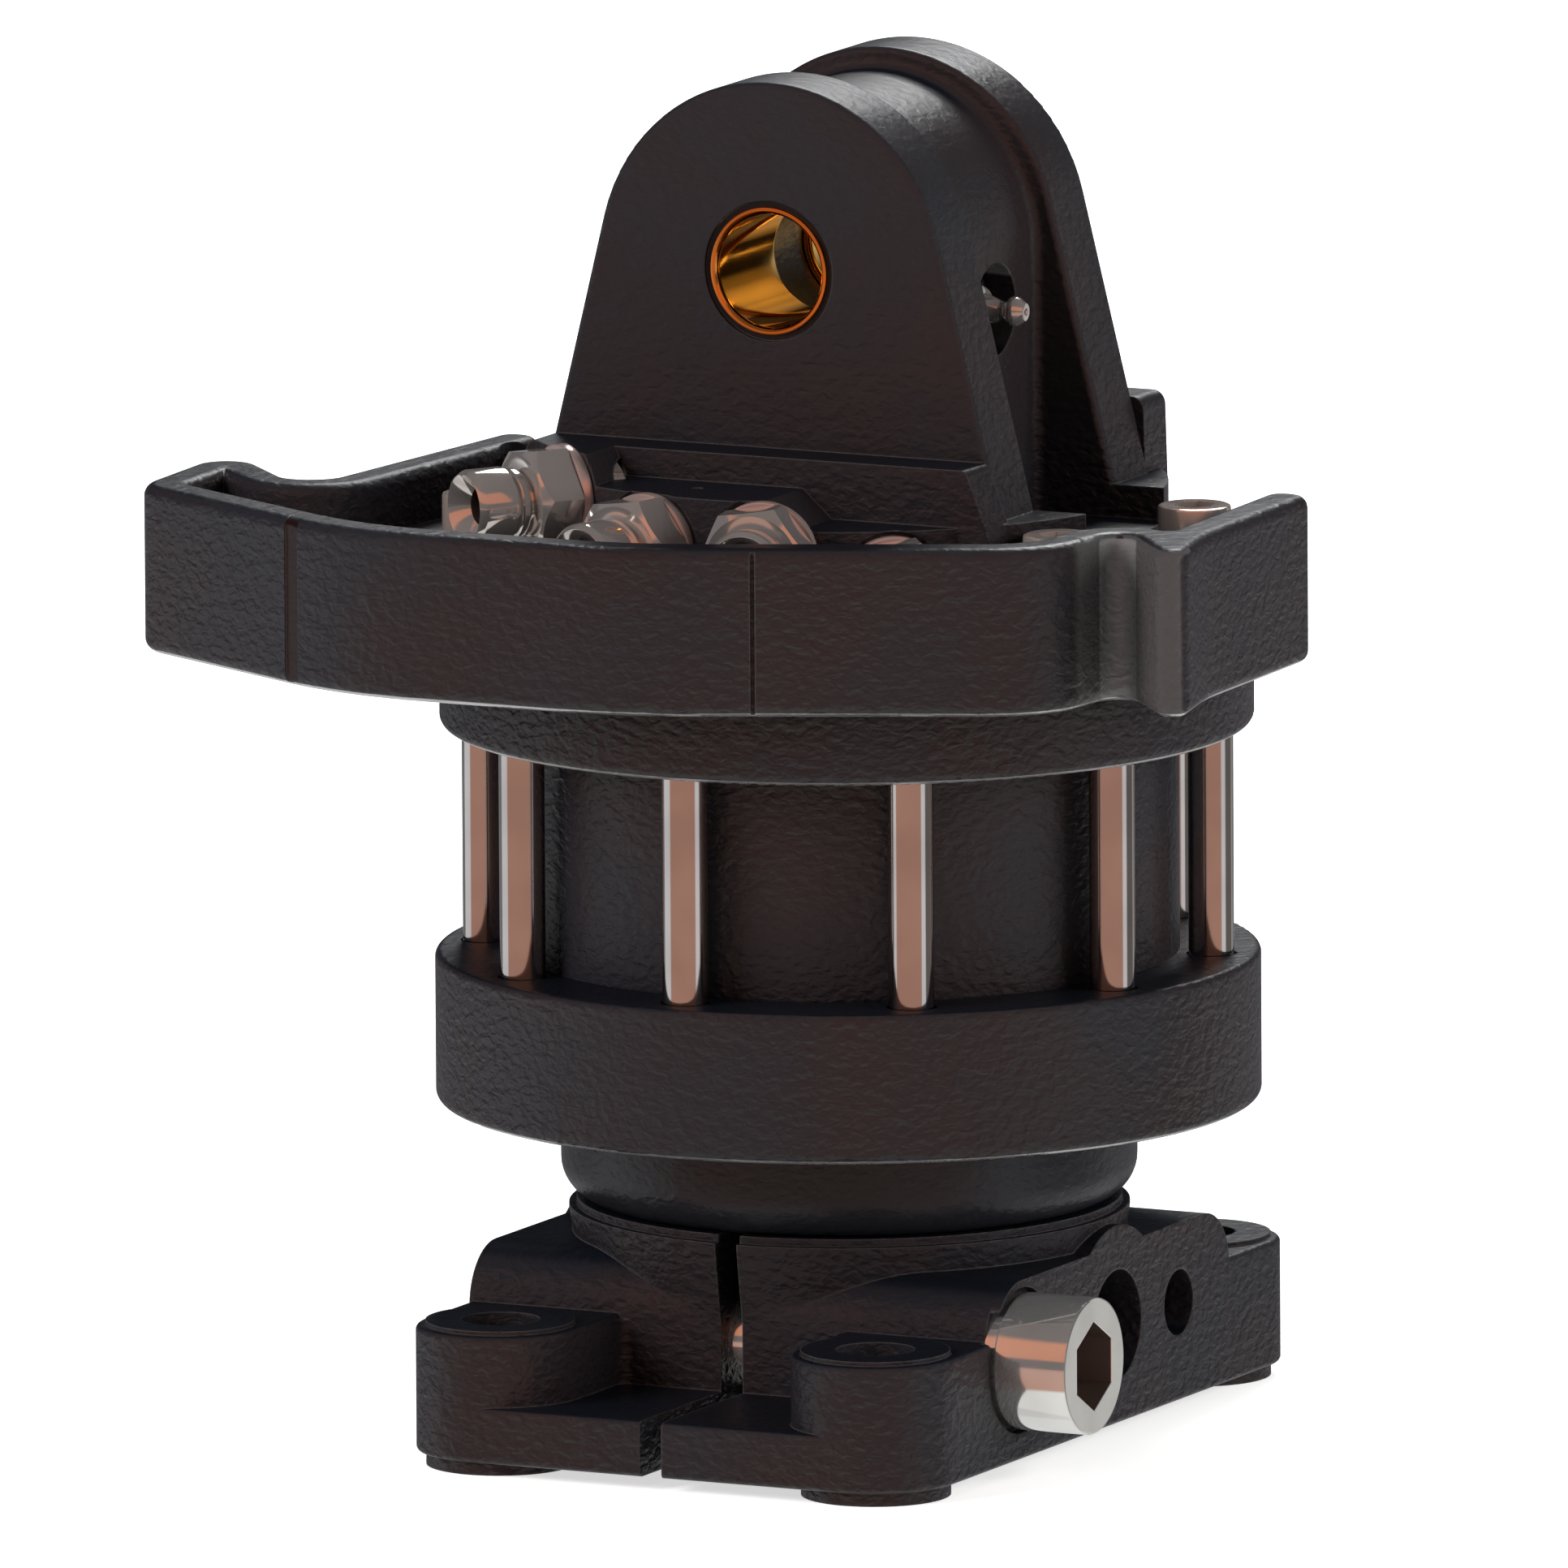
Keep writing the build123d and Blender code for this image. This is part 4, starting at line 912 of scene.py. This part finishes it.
screwSet("tieScrewSteel", "tie_screws", 82.9, screwPlating, 10, 82.7, (0.0, 36.0, 0.0), True, 4)
screwSet("shelfScrewSteel", "shelf_screws", 37.0, shelfPlating, 4, 196.0, (-97.5, 36.0, 87.0), False, 7)
screwSet("rearScrewSteel", "rear_deck_screws", 25.0, shelfPlating, 4, 184.0, (-162.0, 36.0, 216.0), False, 9)
print("screws placed")

innerFinish = {
    sealRubber: ("flange_o_rings", "head_o_ring", "shaft_seal", "spigot_rings"),
    innerBronze: ("upper_bush", "lower_bush", "roller_cage"),
    innerSteel: (
        "dowel_pins", "lower_race", "upper_race", "rollers", "rotor_core", "rotor_keys",
        "vanes", "vane_springs", "tab_washer", "lock_nut",
    ),
}
for material, names in innerFinish.items():
    for node in names:
        nodes[node].data.materials.clear()
        nodes[node].data.materials.append(material)
print("inner parts finished")

floorSizes = {
    "radius": 30000.0,
    "corners": 64,
    "nearFade": 230.0,
    "farFade": 620.0,
    "nearGlow": 0.62,
    "speckScale": 400.0,
    "colors": ((0.78, 0.78, 0.77), (0.82, 0.82, 0.81)),
}


def pearlFloor():
    # a pale floor that keeps the shadow near the part and fades to white further out
    s = floorSizes
    build = bmesh.new()
    bmesh.ops.create_circle(build, cap_ends=True, segments=s["corners"], radius=s["radius"] * mm)
    mesh = bpy.data.meshes.new("studioFloor")
    build.to_mesh(mesh)
    build.free()
    material = bpy.data.materials.new("paleFloor")
    material.use_nodes = True
    tree = material.node_tree
    tree.nodes.clear()
    place = addNode(tree, "ShaderNodeTexCoord").outputs["Object"]
    reach = distance(tree, place, (0, 0, 0))
    glow = spread(tree, reach, s["nearFade"] * mm, s["farFade"] * mm, s["nearGlow"], 1.0)
    color = blendColors(tree, noise(tree, place, s["speckScale"]), *s["colors"])
    matte = addNode(tree, "ShaderNodeBsdfDiffuse", {"Color": color})
    light = addNode(tree, "ShaderNodeEmission", {"Color": (1.0, 1.0, 1.0, 1.0), "Strength": glow})
    seen = addNode(tree, "ShaderNodeAddShader")
    tree.links.new(matte.outputs[0], seen.inputs[0])
    tree.links.new(light.outputs[0], seen.inputs[1])
    path = addNode(tree, "ShaderNodeLightPath")
    switch = addNode(tree, "ShaderNodeMixShader", {0: path.outputs["Is Camera Ray"]})
    tree.links.new(matte.outputs[0], switch.inputs[1])
    tree.links.new(seen.outputs[0], switch.inputs[2])
    output = addNode(tree, "ShaderNodeOutputMaterial")
    tree.links.new(switch.outputs[0], output.inputs["Surface"])
    floor = link("studioFloor", mesh, material)
    floor.visible_glossy = False  # shiny parts see the room's white ground instead


def elevationStops(stops):
    # (elevation in degrees, color) to places on a ramp over the sine of the elevation
    return [((math.sin(math.radians(e)) + 1) / 2, c) for e, c in stops]


roomLook = {
    # azimuth of each wall's edges, from the hose side towards +X, and its softness
    "frontWall": (-52, 80, 1.5),
    "sideWindows": (-96, 104, 1.5),
    "greyWall": (90, 149, 2.0),
    "backWindow": (148, 161, 1.5),
    "front": [
        (-90, (0.92, 0.91, 0.88)),
        (-37, (0.90, 0.89, 0.86)),
        (-33, (0.56, 0.31, 0.23)),
        (-2, (0.55, 0.31, 0.235)),
        (1, (0.13, 0.10, 0.095)),
        (12, (0.13, 0.10, 0.095)),
        (15, (0.64, 0.24, 0.125)),
        (40, (0.64, 0.24, 0.125)),
        (46, (0.13, 0.10, 0.09)),
        (90, (0.11, 0.09, 0.085)),
    ],
    "side": [
        (-90, (0.80, 0.79, 0.78)),
        (-34, (0.52, 0.51, 0.52)),
        (-17, (0.50, 0.50, 0.52)),
        (-14, (0.86, 0.86, 0.87)),
        (-5, (0.84, 0.84, 0.85)),
        (-2, (0.32, 0.32, 0.34)),
        (6, (0.10, 0.10, 0.11)),
        (40, (0.10, 0.09, 0.09)),
        (90, (0.11, 0.09, 0.085)),
    ],
    "grey": [
        (-90, (0.92, 0.91, 0.88)),
        (-30, (0.62, 0.60, 0.59)),
        (-14, (0.20, 0.18, 0.17)),
        (-2, (0.12, 0.11, 0.11)),
        (4, (0.03, 0.03, 0.035)),
        (90, (0.11, 0.09, 0.085)),
    ],
    "window": [
        (-90, (0.90, 0.90, 0.89)),
        (-16, (0.60, 0.59, 0.56)),
        (-8, (0.43, 0.425, 0.405)),
        (2, (0.52, 0.52, 0.53)),
        (12, (0.30, 0.30, 0.32)),
        (22, (0.04, 0.045, 0.055)),
        (90, (0.11, 0.09, 0.085)),
    ],
    "back": [
        (-90, (0.90, 0.90, 0.89)),
        (-30, (0.78, 0.78, 0.79)),
        (-16, (0.26, 0.26, 0.28)),
        (-1, (0.17, 0.17, 0.185)),
        (5, (0.05, 0.055, 0.065)),
        (9, (0.010, 0.013, 0.020)),
        (34, (0.012, 0.014, 0.022)),
        (50, (0.11, 0.09, 0.085)),
        (90, (0.11, 0.09, 0.085)),
    ],
    "soft": (0.2, 0.195, 0.2),  # what lights the matt parts
    "seen": (1.0, 1.0, 1.0),
}


def studioRoom():
    # white to the camera, coloured walls to shiny parts, plain grey to everything else
    world = bpy.data.worlds.new("studioRoom")
    bpy.context.scene.world = world
    world.use_nodes = True
    tree = world.node_tree
    tree.nodes.clear()
    direction = addNode(tree, "ShaderNodeTexCoord").outputs["Generated"]
    split = addNode(tree, "ShaderNodeSeparateXYZ", {0: direction}).outputs
    height = mathNode(tree, "MULTIPLY_ADD", split["Z"], 0.5, 0.5)
    azimuth = mathNode(tree, "ARCTAN2", split["X"], mathNode(tree, "MULTIPLY", split["Y"], -1.0))
    walls = colorStops(tree, height, elevationStops(roomLook["back"]))
    for edges, ramp in (
        ("backWindow", "window"), ("greyWall", "grey"), ("sideWindows", "side"), ("frontWall", "front"),
    ):
        left, right, soft = (math.radians(a) for a in roomLook[edges])
        wall = colorStops(tree, height, elevationStops(roomLook[ramp]))
        walls = blendColors(tree, between(tree, azimuth, left, right, soft), walls, wall)
    path = addNode(tree, "ShaderNodeLightPath")
    shiny = mathNode(tree, "MAXIMUM", path.outputs["Is Glossy Ray"], path.outputs["Is Transmission Ray"])
    color = blendColors(tree, shiny, roomLook["soft"], walls)
    color = blendColors(tree, path.outputs["Is Camera Ray"], color, roomLook["seen"])
    sky = addNode(tree, "ShaderNodeBackground", {"Color": color, "Strength": 1.0})
    output = addNode(tree, "ShaderNodeOutputWorld")
    tree.links.new(sky.outputs[0], output.inputs["Surface"])


# azimuth from the hose side towards +X, distance and size in metres; strength 1 lights white to white
lampSet = {
    "rightWindow": {
        "azimuth": 96, "elevation": 16, "distance": 2.2, "size": 1.3,
        "strength": 0.85, "color": (1.0, 0.99, 0.97), "shines": False,
    },
    "frontWindow": {
        "azimuth": -38, "elevation": 27, "distance": 2.6, "size": 1.2,
        "strength": 0.9, "color": (1.0, 0.95, 0.94), "shines": False,
    },
    "topPanel": {
        "azimuth": 60, "elevation": 80, "distance": 2.4, "size": 1.6,
        "strength": 0.07, "color": (0.93, 0.97, 1.0), "shines": False,
    },
    "backPanel": {
        "azimuth": 195, "elevation": 42, "distance": 2.4, "size": 0.9,
        "strength": 0.5, "color": (1.0, 1.0, 1.0), "shines": True,
    },
}


def towards(azimuth, elevation):
    a, e = math.radians(azimuth), math.radians(elevation)
    return Vector((math.sin(a) * math.cos(e), -math.cos(a) * math.cos(e), math.sin(e)))


lampAim = Vector((0, 0, 0.15))


def hangLamps():
    for name, look in lampSet.items():
        lamp = bpy.data.lights.new(name, "AREA")
        lamp.shape = "SQUARE"
        lamp.size = look["size"]
        lamp.energy = look["strength"] * math.pi**2 * look["distance"] ** 2
        lamp.color = look["color"]
        holder = bpy.data.objects.new(name, lamp)
        bpy.context.scene.collection.objects.link(holder)
        away = towards(look["azimuth"], look["elevation"])
        holder.visible_glossy = look["shines"]  # off where shiny parts see the painted room instead
        holder.location = lampAim + away * look["distance"]
        holder.rotation_euler = away.to_track_quat("Z", "Y").to_euler()


cameraSizes = {
    "azimuth": 26.25,
    "elevation": 9.5,
    "roll": -0.34,
    "distance": 10.0,
    "frameWidth": 342.0,
    "aimHeight": 150.0,
    "aimRight": -13.79,
    "aimUp": -9.28,
    "sensor": 36.0,
    "clip": (1.0, 100.0),  # like the distance in metres
}


def placeCamera():
    s = cameraSizes
    back = towards(s["azimuth"], s["elevation"])
    azimuth = math.radians(s["azimuth"])
    right = Vector((math.cos(azimuth), math.sin(azimuth), 0))
    up = back.cross(right)
    aim = Vector((0, 0, s["aimHeight"] * mm)) + right * s["aimRight"] * mm + up * s["aimUp"] * mm
    lens = bpy.data.cameras.new("photoCamera")
    lens.sensor_width = s["sensor"]
    lens.lens = s["sensor"] * s["distance"] / (s["frameWidth"] * mm)
    lens.clip_start, lens.clip_end = s["clip"]
    camera = bpy.data.objects.new("photoCamera", lens)
    bpy.context.scene.collection.objects.link(camera)
    turn = Matrix((right, up, back)).transposed().to_4x4()
    roll = Matrix.Rotation(math.radians(s["roll"]), 4, "Z")
    camera.matrix_world = Matrix.Translation(aim + back * s["distance"]) @ turn @ roll
    bpy.context.scene.camera = camera


pearlFloor()
studioRoom()
hangLamps()
placeCamera()
bpy.context.scene.view_settings.view_transform = "Standard"
print("floor, light and camera set")
